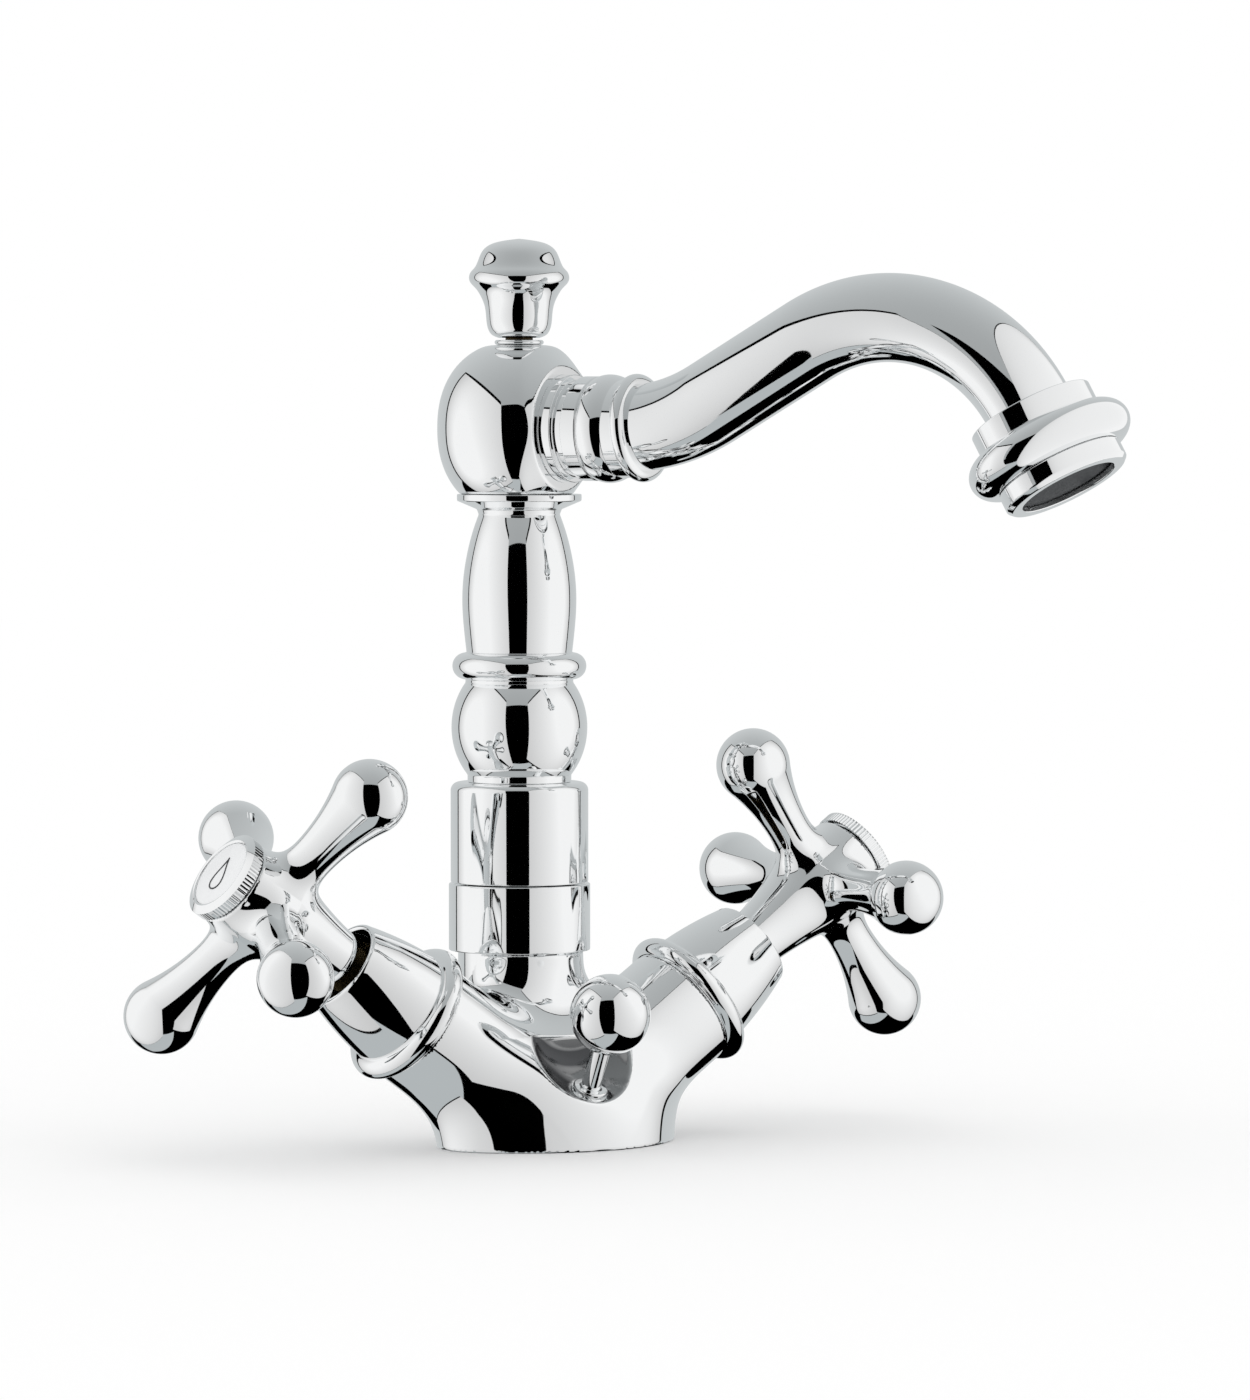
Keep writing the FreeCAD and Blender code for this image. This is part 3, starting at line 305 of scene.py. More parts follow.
def chrome_plate(name):
    """Bright plating: nearly a mirror, with faint haze and slight waves."""
    return finish(name, (0.925, 0.935, 0.94), (0.965, 0.972, 0.975), patches=45.0, haze=(0.012, 0.05),
                  haze_scale=160.0, relief=0.000004, relief_scale=220.0, relief_detail=1.0, metallic=1.0)


def scoop_shade_mask(tree):
    """Mask of the painted shade in the casting's scoop: 1 inside its rim and in front of its back wall."""
    def worked(operation, first, second=(0, 0, 0)):
        return add_node(tree, "ShaderNodeVectorMath", {0: first, 1: second}, operation=operation).outputs

    def faded(value, limit, fade):
        ends = {"From Min": (limit + fade[0]) * MM, "From Max": (limit + fade[1]) * MM}
        return add_node(tree, "ShaderNodeMapRange", {"Value": value, **ends}).outputs["Result"]

    place = add_node(tree, "ShaderNodeTexCoord").outputs["Object"]
    local = worked("SUBTRACT", place, knob_centre * MM)["Vector"]
    away = worked("LENGTH", worked("MULTIPLY", local, pocket_squeeze)["Vector"])["Value"]
    ahead = worked("DOT_PRODUCT", local, rod_front)["Value"]
    masks = {0: faded(away, pocket_radius, pocket_rim_fade), 1: faded(ahead, -pocket_back, pocket_back_fade)}
    return add_node(tree, "ShaderNodeMath", masks, operation="MULTIPLY").outputs[0]


def cast_chrome_painted_shade():
    """Bright plating with painted shade in the scoop: darker there, and more matt."""
    material = chrome_plate("cast_chrome_painted_shade")
    tree = material.node_tree
    colour, roughness = (tree.nodes["Principled BSDF"].inputs[name] for name in ("Base Color", "Roughness"))
    # The scoop is painted darker as shade, and made rougher.
    shade_mask = scoop_shade_mask(tree)
    matt = {0: shade_mask, 1: pocket_haze, 2: roughness.links[0].from_socket}
    tree.links.new(tinted(tree, shade_mask, colour.links[0].from_socket, pocket_painted_shade), colour)
    tree.links.new(add_node(tree, "ShaderNodeMath", matt, operation="MULTIPLY_ADD").outputs[0], roughness)
    return material


def set_piece(piece, body, material, slot, *nodes):
    """Give a piece its finish, its body and the nodes that it stands for."""
    piece.data.materials.clear()
    piece.data.materials.append(material)
    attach(piece, body)
    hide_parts(*nodes)


def node_box(node):
    """Lowest and highest corner of a node, in millimetres."""
    return [np.array(corner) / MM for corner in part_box(node)]


chrome = chrome_plate("chrome_plate")
casting = add_object("cast_body", *field_mesh(casting_field, *node_box("body_casting"), casting_step))
# The casting's plating carries painted shade in its scoop.
set_piece(casting, "base", cast_chrome_painted_shade(), "chrome", "body_casting")


# Ring nut: a turned ring that is screwed on the neck and holds the spout down, and the turned
# sleeve above it, whose spigot turns in the neck. Both are plated brass.
nut_radius = 15.0
nut_lip = 2.7
nut_edge = 0.35
fit_gap = 0.03
sleeve_radius = 14.6
sleeve_gap = 0.2
sleeve_edge = 0.35
sleeve_shoulder = 1.8
spigot_radius = 10.9
sleeve_bore = 7.2
sleeve_tail_bore = 8.98
sleeve_tail_depth = 11.53
seal_grooves = ((31.0, 0.8, 1.6), (37.0, 0.8, 1.6), (50.25, 1.03, 1.23))
turned_edge = 0.25
soft_turn = math.radians(22)
edge_share = 0.45
edge_points = 6
around = 160
quarter = math.pi / 2


def arc(x, y, radius, start, end, count=24):
    """Points on an arc about (x, y), from a start angle to an end angle."""
    return [(x + radius * math.cos(a), y + radius * math.sin(a)) for a in np.linspace(start, end, count)]


def square_to(axis):
    """Three directions as rows: two square to an axis, then the axis."""
    axis = np.asarray(axis, float) / np.linalg.norm(axis)
    side = np.cross((0, 1, 0), axis)
    side = side / np.linalg.norm(side)
    return np.array([side, np.cross(axis, side), axis])


def eased(outline, edge):
    """Closed outline with each hard corner rounded by a short arc."""
    outline = np.asarray(outline, float)
    rounded = []
    for before, here, after in zip(np.roll(outline, 1, 0), outline, np.roll(outline, -1, 0)):
        back, on = before - here, after - here
        lengths = np.linalg.norm(back), np.linalg.norm(on)
        turn = math.acos(np.clip(-(back @ on) / (lengths[0] * lengths[1]), -1, 1))
        if turn < soft_turn or here[0] == 0:
            rounded.append(here)
            continue
        reach = min(edge, edge_share * min(lengths))
        start, end = here + back / lengths[0] * reach, here + on / lengths[1] * reach
        for t in np.linspace(0, 1, edge_points):
            rounded.append((1 - t) ** 2 * start + 2 * t * (1 - t) * here + t ** 2 * end)
    return np.array(rounded)


def turned(outline, origin, axis):
    """Points, faces and normals of a closed (radius, height) outline spun about an axis."""
    ahead = np.roll(outline, -1, 0)
    if (outline[:, 0] * ahead[:, 1] - ahead[:, 0] * outline[:, 1]).sum() < 0:
        outline = outline[::-1]
    run = np.roll(outline, -1, 0) - outline
    facing = np.stack([run[:, 1], -run[:, 0]], -1)
    facing = facing + np.roll(facing, 1, 0)
    facing[outline[:, 0] == 0, 0] = 0
    angle = np.linspace(0, 2 * math.pi, around, endpoint=False)
    index, points, normals = [], [], []
    for (radius, height), (out, up) in zip(outline, facing):
        count = around if radius > 0 else 1
        index.append([len(points) + j % count for j in range(around + 1)])
        for a in angle[:count]:
            points.append((radius * math.cos(a), radius * math.sin(a), height))
            normals.append((out * math.cos(a), out * math.sin(a), up))
    faces = []
    for low, high in zip(index, index[1:] + index[:1]):
        for j in range(around):
            corners = list(dict.fromkeys((low[j], low[j + 1], high[j + 1], high[j])))
            if len(corners) > 2:
                faces.append(corners)
    normals = np.array(normals) / np.linalg.norm(normals, axis=-1, keepdims=True)
    directions = square_to(axis)
    return np.array(points) @ directions + origin, faces, normals @ directions


def turned_piece(name, body, node, outline, origin, axis, edge=turned_edge, material=chrome, slot="chrome"):
    """Piece that is turned from a (radius, height) outline, plated unless another finish is given."""
    piece = add_object(name, *turned(eased(outline, edge), origin, axis))
    set_piece(piece, body, material, slot, node)


nut_bottom, nut_top = (corner[2] for corner in node_box("spout_ring_nut"))
nut_bore = neck_thread_radius + fit_gap
nut_outline = [
    (nut_bore, nut_bottom), (nut_radius, nut_bottom), (nut_radius, nut_top), (spigot_bore, nut_top),
    (spigot_bore, nut_top - nut_lip), (nut_bore, nut_top - nut_lip)]
turned_piece("ring_nut", "base", "spout_ring_nut", nut_outline, column_foot, upward, nut_edge)

sleeve_low, sleeve_high = (corner[2] for corner in node_box("swivel_sleeve"))
sleeve_bottom = nut_top + sleeve_gap
sleeve_outline = [(sleeve_bore, sleeve_low), (spigot_radius, sleeve_low)]
for height, half, depth in seal_grooves:
    sleeve_outline += [(spigot_radius, height - half), (spigot_radius - depth, height - half),
                       (spigot_radius - depth, height + half), (spigot_radius, height + half)]
sleeve_outline += [
    (spigot_radius, sleeve_bottom), (sleeve_radius, sleeve_bottom),
    *arc(sleeve_radius - sleeve_shoulder, sleeve_high - sleeve_shoulder, sleeve_shoulder, 0, quarter, 12),
    (sleeve_tail_bore, sleeve_high), (sleeve_tail_bore, sleeve_high - sleeve_tail_depth),
    (sleeve_bore, sleeve_high - sleeve_tail_depth)]
turned_piece("swivel_sleeve_turned", "spout", "swivel_sleeve", sleeve_outline, column_foot, upward,
             sleeve_edge)


# Baluster: the turned column of the spout, with a bead, a half-round ring, a vase and the
# thin plate that carries the head. It is plated brass and screwed into the sleeve.
bead_centre = 87.3
bead_radius = 14.4
bead_half_height = 15.6
bead_foot_radius = 11.0
bead_neck = 96.8
ring_centre = 100.3
ring_radius = 14.2
ring_half_height = 2.8
vase_bottom = 103.2
vase_radius = 12.08
vase_height = 29.2
vase_radius_shares = (0.927, 0.974, 1.0, 0.974, 0.902, 0.79, 0.712)
vase_height_shares = (0.0, 0.18, 0.37, 0.565, 0.74, 0.91, 1.0)
plate_radius = 13.2
plate_bottom = 135.3
plate_top = 136.7
plate_root = (9.0, 133.5)
baluster_bore = 5.8
baluster_tail_radius = 8.95
baluster_tail_length = 11.5
head_tail_radius = 7.9
head_tail_length = 4.8


def flowing(points, count):
    """Smooth curve through points: a natural cubic spline by the distance along them."""
    points = np.asarray(points, float)
    gaps = np.linalg.norm(np.diff(points, axis=0), axis=1)
    knots = np.concatenate([[0], np.cumsum(gaps)])
    size = len(points)
    system, right = np.eye(size), np.zeros((size, 2))
    for i in range(1, size - 1):
        system[i, i - 1:i + 2] = gaps[i - 1], 2 * (gaps[i - 1] + gaps[i]), gaps[i]
        right[i] = 6 * ((points[i + 1] - points[i]) / gaps[i] - (points[i] - points[i - 1]) / gaps[i - 1])
    bend = np.linalg.solve(system, right)
    along = np.linspace(0, knots[-1], count)
    span = np.clip(np.searchsorted(knots, along, "right") - 1, 0, size - 2)
    gap, before, after = gaps[span, None], (along - knots[span])[:, None], (knots[span + 1] - along)[:, None]
    return (bend[span] * after ** 3 + bend[span + 1] * before ** 3) / (6 * gap) \
        + (points[span] / gap - bend[span] * gap / 6) * after \
        + (points[span + 1] / gap - bend[span + 1] * gap / 6) * before


def bulge(start, end, height, count=28):
    """Half-round between two points of an outline that stands out by a height, as an ellipse."""
    start, end = np.asarray(start, float), np.asarray(end, float)
    half = (end - start) / 2
    out = np.array([half[1], -half[0]]) / np.linalg.norm(half) * height
    angle = np.linspace(0, math.pi, count)[:, None]
    return (start + half - half * np.cos(angle) + out * np.sin(angle)).tolist()


def bead_at(height):
    """Radius of the bead at a height."""
    return bead_radius * np.sqrt(1 - ((height - bead_centre) / bead_half_height) ** 2)


bead_foot = bead_centre - bead_half_height * math.sqrt(1 - (bead_foot_radius / bead_radius) ** 2)
bead_heights = np.linspace(bead_foot, bead_neck, 48)
neck_at_ring = float(bead_at(bead_neck))
vase_points = [(vase_radius * r, vase_bottom + vase_height * h)
               for r, h in zip(vase_radius_shares, vase_height_shares)]
baluster_outline = [
    (baluster_bore, sleeve_high - baluster_tail_length),
    (baluster_tail_radius, sleeve_high - baluster_tail_length), (baluster_tail_radius, sleeve_high),
    (bead_foot_radius, sleeve_high), *zip(bead_at(bead_heights), bead_heights),
    *bulge((neck_at_ring, ring_centre - ring_half_height), (neck_at_ring, ring_centre + ring_half_height),
           ring_radius - neck_at_ring),
    (neck_at_ring, vase_bottom), *flowing(vase_points, 60), plate_root, (plate_radius, plate_bottom),
    (plate_radius, plate_top), (head_tail_radius, plate_top),
    (head_tail_radius, plate_top + head_tail_length), (baluster_bore, plate_top + head_tail_length)]
turned_piece("baluster_turned", "spout", "baluster", baluster_outline, column_foot, upward)


# Spout head: the hollow ball that joins the column, the spout and the finial. It is cast and
# polished, with a round flat where the spout's collar is screwed in.
head_centre = np.array([0.0, column_setback, 150.6])
head_radius = 17.35
head_half_height = 18.6
head_fullness = 2.25
head_top = 168.3
head_cavity = 12.0
head_flat_reach = 11.2
head_flat_radius = 13.3
collar_tail_radius = 8.8
finial_stem_radius = 2.9
head_edge = 0.5
head_crown_round = 1.2
head_step = 0.42
spout_swing = math.radians(27.8)
spout_axis = np.array([math.sin(spout_swing), -math.cos(spout_swing), 0.0])


def head_field(points):
    """Distance field of the head: a full ball, cut flat below, above and for the spout."""
    local = points - head_centre
    across = np.linalg.norm(local[..., :2], axis=-1) / head_radius
    above = np.abs(local[..., 2]) / head_half_height
    ball = ((across ** head_fullness + above ** head_fullness) ** (1 / head_fullness) - 1) * head_radius
    ball = trimmed(ball, points[..., 2] - head_top, head_crown_round)
    ball = trimmed(ball, plate_top - points[..., 2], head_edge)
    along = local @ spout_axis
    aside = np.linalg.norm(local - along[..., None] * spout_axis, axis=-1)
    ball = trimmed(ball, along - head_flat_reach, head_edge)
    ball = trimmed(ball, (along - head_flat_reach + aside - head_flat_radius) / math.sqrt(2), head_edge)
    ball = trimmed(ball, head_cavity - np.linalg.norm(local, axis=-1), head_edge)
    for axis, radius in ((spout_axis, collar_tail_radius), (-upward, head_tail_radius),
                         (upward, finial_stem_radius)):
        bore = bar(points, head_centre, head_centre + axis * 2 * head_radius, radius, head_edge)
        ball = trimmed(ball, -bore, head_edge)
    return ball


head = add_object("ball_head", *field_mesh(head_field, *node_box("spout_head"), head_step))
set_piece(head, "spout", chrome, "chrome", "spout_head")


# Finial: a turned knob on a short stud of bare brass, with a small half-round ring under it. The
# stud is screwed into the head and the knob on the stud. Knob and ring are plated brass.
finial_washer_radius = 5.2
finial_washer_height = 1.0
finial_gap = 0.4
finial_bore_depth = 9.0
finial_radius = 10.6
finial_radius_shares = (0.40, 0.56, 0.625, 0.66, 0.695, 0.76, 0.88, 0.985, 1.0, 0.955, 0.895, 0.835, 0.785,
                        0.72, 0.60, 0.36, 0.0)
finial_height_shares = (0.0, 0.04, 0.10, 0.22, 0.335, 0.415, 0.507, 0.57, 0.615, 0.672, 0.705, 0.76, 0.825,
                        0.885, 0.935, 0.975, 1.0)


def turned_brass():
    """Bare brass, darkened by water, with fine turning haze and darker patches."""
    return finish("turned_brass", (0.05, 0.036, 0.018), (0.10, 0.073, 0.036), patches=250.0, haze=(0.4, 0.6),
                  haze_scale=1200.0, relief=0.000008, relief_scale=2500.0, metallic=1.0)


brass = turned_brass()
washer_top = head_top + finial_washer_height
washer_bore = finial_stem_radius + fit_gap
washer_side = finial_washer_radius - finial_washer_height / 2
washer_outline = [
    (washer_bore, head_top),
    *bulge((washer_side, head_top), (washer_side, washer_top), finial_washer_height / 2),
    (washer_bore, washer_top)]
turned_piece("finial_ring", "spout", "finial_washer", washer_outline, column_foot, upward)

finial_bottom = washer_top + finial_gap
finial_floor = finial_bottom + finial_bore_depth
stem_low = node_box("finial_stem")[0][2]
stem_top = finial_floor - fit_gap
stem_outline = [(0, stem_low), (finial_stem_radius, stem_low), (finial_stem_radius, stem_top), (0, stem_top)]
turned_piece("finial_stud", "spout", "finial_stem", stem_outline, column_foot, upward,
             material=brass, slot="brass")

finial_tip = node_box("finial_knob")[1][2]
finial_points = [(finial_radius * r, finial_bottom + (finial_tip - finial_bottom) * h)
                 for r, h in zip(finial_radius_shares, finial_height_shares)]
finial_outline = [(washer_bore, finial_bottom), *flowing(finial_points, 110)[:-1], (0, finial_tip),
                  (0, finial_floor), (washer_bore, finial_floor)]
turned_piece("finial_turned", "spout", "finial_knob", finial_outline, column_foot, upward)


# Spout collar: the turned socket between the head and the tube, of plated brass, with a groove,
# two bands, a barrel and a waist. Its end ring stands square to the bent tube, which is brazed in.
collar_radius = 11.4
collar_step_radius = 11.0
collar_tail_start = 6.7
collar_step_reach = 14.0
collar_groove = 0.9
collar_band_reach = 16.3
collar_band_end = 20.0
collar_barrel_reach = 22.6
collar_waist_reach = 25.6
collar_waist_radius = 10.3
collar_ring_reach = 29.6
collar_ring_half_height = 1.7
collar_water_radius = 7.4
collar_line = 0.3
tube_radius = 9.15
tube_bend_reach = 25.8
tube_first_bend = 43.3


def arc_through(start, via, end, count=24):
    """Arc of a circle through three points of an outline."""
    (ax, ay), (bx, by), (cx, cy) = start, via, end
    double = 2 * (ax * (by - cy) + bx * (cy - ay) + cx * (ay - by))
    squares = ax * ax + ay * ay, bx * bx + by * by, cx * cx + cy * cy
    x = (squares[0] * (by - cy) + squares[1] * (cy - ay) + squares[2] * (ay - by)) / double
    y = (squares[0] * (cx - bx) + squares[1] * (ax - cx) + squares[2] * (bx - ax)) / double
    first, last = math.atan2(ay - y, ax - x), math.atan2(cy - y, cx - x)
    last += 2 * math.pi * round((first - last) / (2 * math.pi))
    return arc(x, y, math.hypot(ax - x, ay - y), first, last, count)


def in_spout_plane(reach, height):
    """Place in the frame of a point in the spout's own plane."""
    return head_centre + spout_axis * reach + upward * height


groove_radius = collar_step_radius - collar_groove
collar_outline = [
    (collar_water_radius, collar_tail_start), (collar_tail_radius, collar_tail_start),
    (collar_tail_radius, head_flat_reach), (collar_radius, head_flat_reach),
    (collar_radius, collar_step_reach), (groove_radius, collar_step_reach),
    (groove_radius, collar_band_reach), (collar_step_radius, collar_band_reach),
    (collar_step_radius, collar_band_end - collar_line),
    (collar_step_radius - collar_line, collar_band_end),
    *arc_through((collar_step_radius, collar_band_end + collar_line), (collar_radius, collar_barrel_reach),
                 (collar_waist_radius, collar_waist_reach)),
    (collar_waist_radius, collar_ring_reach), (collar_water_radius, collar_ring_reach)]
points, faces, normals = turned(eased(collar_outline, turned_edge), head_centre, spout_axis)

ring_turn = math.asin((collar_ring_reach - tube_bend_reach) / tube_first_bend)
ring_axis = spout_axis * math.cos(ring_turn) + upward * math.sin(ring_turn)
ring_middle = in_spout_plane(collar_ring_reach, tube_first_bend * (1 - math.cos(ring_turn)))
ring_base = (collar_waist_radius + tube_radius) / 2
ring_outline = [
    (collar_water_radius, -collar_ring_half_height),
    *bulge((ring_base, -collar_ring_half_height), (ring_base, collar_ring_half_height),
           collar_radius - ring_base),
    (collar_water_radius, collar_ring_half_height)]
ring_points, ring_faces, ring_normals = turned(eased(ring_outline, turned_edge), ring_middle, ring_axis)
shifted = [[corner + len(points) for corner in face] for face in ring_faces]
collar = add_object("spout_collar_turned", np.concatenate([points, ring_points]), faces + shifted,
                    np.concatenate([normals, ring_normals]))
set_piece(collar, "spout", chrome, "chrome", "spout_collar")


# Spout tube: one bent brass tube, plated, that rises from the collar and comes over to the
# outlet. It is swept along its centreline of straight runs and tangent bends.
tube_start_reach = 20.4
tube_rise = math.radians(29.15)
tube_rise_length = 26.3
tube_second_bend = 37.7
outlet_lean = math.radians(29.5)
tube_end_depth = 5.0
tube_around = 128


def spout_path():
    """Centreline of the tube as (reach, height) points from the head's centre, and where it ends bending."""
    climb = np.array([math.cos(tube_rise), math.sin(tube_rise)])
    first = arc(tube_bend_reach, tube_first_bend, tube_first_bend, -quarter, tube_rise - quarter, 48)
    rise = [tuple(first[-1] + climb * tube_rise_length * t) for t in np.linspace(0.05, 0.95, 16)]
    middle = first[-1] + climb * tube_rise_length + np.array([climb[1], -climb[0]]) * tube_second_bend
    second = arc(*middle, tube_second_bend, tube_rise + quarter, outlet_lean, 110)
    tip = second[-1] + tube_end_depth * np.array([math.sin(outlet_lean), -math.cos(outlet_lean)])
    return [(tube_start_reach, 0.0), *first, *rise, *second, tuple(tip)], second[-1]


def node_group(name, base, sizes, result):
    """New node group and its input sockets: a base mesh, named sizes and a finish."""
    tree = bpy.data.node_groups.new(name, "GeometryNodeTree")
    kinds = {int: "NodeSocketInt", float: "NodeSocketFloat"}
    tree.interface.new_socket(base, in_out="INPUT", socket_type="NodeSocketGeometry")
    for label, value in sizes.items():
        socket = tree.interface.new_socket(label, in_out="INPUT", socket_type=kinds[type(value)])
        socket.default_value = value
    tree.interface.new_socket("Finish", in_out="INPUT", socket_type="NodeSocketMaterial")
    tree.interface.new_socket(result, in_out="OUTPUT", socket_type="NodeSocketGeometry")
    return tree, tree.nodes.new("NodeGroupInput").outputs


def ended(tree, given, geometry):
    """End a node group in one real mesh with the group's finish."""
    real = add_node(tree, "GeometryNodeRealizeInstances", {"Geometry": geometry})
    painted = add_node(tree, "GeometryNodeSetMaterial",
                       {"Geometry": real.outputs["Geometry"], "Material": given["Finish"]})
    add_node(tree, "NodeGroupOutput", {0: painted.outputs["Geometry"]})
    return tree


def swept_bar_tree():
    """Node group that sweeps a round section along the edges of a mesh."""
    sizes = {"Radius": tube_radius * MM, "Sides": tube_around}
    tree, given = node_group("swept_bar", "Path", sizes, "Bar")
    curve = add_node(tree, "GeometryNodeMeshToCurve", {"Mesh": given["Path"]})
    circle = add_node(tree, "GeometryNodeCurvePrimitiveCircle",
                      {"Radius": given["Radius"], "Resolution": given["Sides"]})
    sweep = add_node(tree, "GeometryNodeCurveToMesh", {
        "Curve": curve.outputs["Curve"], "Profile Curve": circle.outputs["Curve"], "Fill Caps": True})
    smooth = add_node(tree, "GeometryNodeSetShadeSmooth", {"Geometry": sweep.outputs["Mesh"]})
    return ended(tree, given, smooth.outputs["Geometry"])


def grown(piece, tree, **values):
    """Run a node group on a piece and keep the result as its plain mesh."""
    modifier = piece.modifiers.new(tree.name, "NODES")
    modifier.node_group = tree
    for item in tree.interface.items_tree:
        if item.in_out == "INPUT" and item.name in values:
            modifier[item.identifier] = values[item.name]
    evaluated = piece.evaluated_get(bpy.context.evaluated_depsgraph_get())
    made = bpy.data.meshes.new_from_object(evaluated)
    piece.modifiers.remove(modifier)
    piece.data = made


def path_object(name, points, closed=False):
    """Mesh of bare edges through points in millimetres."""
    edges = [(i, i + 1) for i in range(len(points) - 1)]
    if closed:
        edges.append((len(points) - 1, 0))
    mesh = bpy.data.meshes.new(name)
    mesh.from_pydata((np.asarray(points) * MM).tolist(), edges, [])
    return placed(name, mesh)


path, outlet_start = spout_path()
swept_bar = swept_bar_tree()
tube = path_object("spout_tube_bent", [in_spout_plane(*spot) for spot in path])
grown(tube, swept_bar, Radius=tube_radius * MM, Sides=tube_around, Finish=chrome)
set_piece(tube, "spout", chrome, "chrome", "spout_tube")


# Outlet: a turned end with a band and a fat ring, brazed on the tube, and the aerator's shell
# screwed into it. Both are plated brass.
outlet_band_radius = 13.2
outlet_band_height = 4.7
outlet_ring_radius = 17.8
outlet_ring_half_height = 4.3
outlet_foot_radius = 12.9
outlet_foot_height = 13.4
tube_bore = 7.95
aerator_thread_radius = 12.0
aerator_thread_top = 8.6
aerator_washer_height = 1.2
shell_radius = 13.5
shell_end = 17.8
shell_bevel = 0.9
shell_opening = 10.3
shell_bore = 10.8
shell_lip = 1.2
outlet_origin = in_spout_plane(*outlet_start)
outlet_axis = spout_axis * math.sin(outlet_lean) - upward * math.cos(outlet_lean)

ring_end = outlet_band_height + 2 * outlet_ring_half_height
outlet_bore = tube_radius + fit_gap
thread_bore = aerator_thread_radius + fit_gap
thread_floor = aerator_thread_top - aerator_washer_height
outlet_outline = [
    (outlet_bore, 0), (outlet_band_radius, 0), (outlet_band_radius, outlet_band_height),
    *bulge((outlet_foot_radius, outlet_band_height), (outlet_foot_radius, ring_end),
           outlet_ring_radius - outlet_foot_radius, 48),
    (outlet_foot_radius, outlet_foot_height), (thread_bore, outlet_foot_height), (thread_bore, thread_floor),
    (tube_bore, thread_floor), (tube_bore, tube_end_depth), (outlet_bore, tube_end_depth)]
turned_piece("outlet_end", "spout", "outlet_collar", outlet_outline, outlet_origin, outlet_axis)

shell_outline = [
    (shell_bore, aerator_thread_top), (aerator_thread_radius, aerator_thread_top),
    (aerator_thread_radius, outlet_foot_height), (shell_radius, outlet_foot_height),
    (shell_radius, shell_end - shell_bevel), (shell_radius - shell_bevel, shell_end),
    (shell_opening, shell_end), (shell_opening, shell_end - shell_lip), (shell_bore, shell_end - shell_lip)]
turned_piece("aerator_shell_turned", "spout", "aerator_shell", shell_outline, outlet_origin, outlet_axis)


# Aerator screen: a disc of woven steel wire that lies on the shell's lip. Two layers of wires
# cross each other, each wire as long as its chord of the disc.
screen_radius = 10.7
screen_pitch = 0.75
screen_wire_radius = 0.15
screen_wire_sides = 6
screen_stand = 0.3
wire_count = 2 * int(screen_radius / screen_pitch) + 1


def wire_layer_tree():
    """Node group that lays wires side by side over a disc, and a second layer across them."""
    sizes = {"Disc Radius": screen_radius * MM, "Pitch": screen_pitch * MM, "Count": wire_count,
             "Wire Radius": screen_wire_radius * MM, "Wire Sides": screen_wire_sides}
    tree, given = node_group("wire_layer", "Base", sizes, "Wires")

    def worked(operation, first, second=0.0):
        return add_node(tree, "ShaderNodeMath", {0: first, 1: second}, operation=operation).outputs[0]

    def vector(**parts):
        return add_node(tree, "ShaderNodeCombineXYZ", parts).outputs[0]

    def moved(geometry, **changes):
        return add_node(tree, "GeometryNodeTransform", {"Geometry": geometry, **changes}).outputs["Geometry"]

    half_row = worked("MULTIPLY", worked("SUBTRACT", given["Count"], 1), -0.5)
    first_wire = worked("MULTIPLY", half_row, given["Pitch"])
    line = add_node(tree, "GeometryNodeMeshLine", {
        "Count": given["Count"], "Start Location": vector(X=first_wire), "Offset": vector(X=given["Pitch"])})
    wire = add_node(tree, "GeometryNodeMeshCylinder", {
        "Vertices": given["Wire Sides"], "Radius": given["Wire Radius"], "Depth": 2.0})
    lying = moved(wire.outputs["Mesh"], Rotation=(quarter, 0, 0))
    place = add_node(tree, "GeometryNodeInputPosition").outputs[0]
    aside = add_node(tree, "ShaderNodeSeparateXYZ", {0: place}).outputs["X"]
    square = worked("MULTIPLY", given["Disc Radius"], given["Disc Radius"])
    chord = worked("SQRT", worked("SUBTRACT", square, worked("MULTIPLY", aside, aside)))
    layer = add_node(tree, "GeometryNodeInstanceOnPoints", {
        "Points": line.outputs["Mesh"], "Instance": lying, "Scale": vector(X=1.0, Y=chord, Z=1.0)})
    wires = layer.outputs["Instances"]
    across = moved(wires, Rotation=(0, 0, quarter), Translation=vector(Z=given["Wire Radius"]))
    both = add_node(tree, "GeometryNodeJoinGeometry", {"Geometry": [wires, across]})
    return ended(tree, given, both.outputs["Geometry"])


def steel_wire_painted_shade():
    """Drawn steel, painted dark grey as the shade of the recessed screen, slightly rough, with a fine haze.
    """
    return finish("steel_wire_painted_shade", (0.05, 0.053, 0.056), (0.11, 0.114, 0.118), patches=900.0, haze=(0.25, 0.45),
                  haze_scale=2500.0, metallic=1.0)


def set_about(piece, origin, axis):
    """Move a piece's mesh from the origin to a place on an axis."""
    spots = np.empty(len(piece.data.vertices) * 3)
    piece.data.vertices.foreach_get("co", spots)
    moved = spots.reshape(-1, 3) @ square_to(axis) + np.asarray(origin) * MM
    piece.data.vertices.foreach_set("co", moved.ravel())
    piece.data.update()


# The steel is painted dark as the shade in the screen's recess; the inner steel pieces share this colour.
steel = steel_wire_painted_shade()
screen = path_object("aerator_wire_screen", [(0, 0, 0)])
screen_reach = shell_end - shell_lip - screen_stand - screen_wire_radius
grown(screen, wire_layer_tree(), Count=wire_count, Finish=steel)
set_about(screen, outlet_origin + outlet_axis * screen_reach, outlet_axis)
set_piece(screen, "spout", steel, "steel", "aerator_screen")


# Lift knob: a polished ball on the rod of the pop-up waste, which slides in a turned bush that
# stands in the scoop. Ball, rod and bush are plated brass.
knob_radius = 8.5
rod_radius = 2.1
rod_foot_height = 1.5
rod_grip = 6.0
bush_length = 10.0
bush_top = -2.4
bush_play = 0.05
visible_lip_radius = 3.7
bush_edge = 0.4

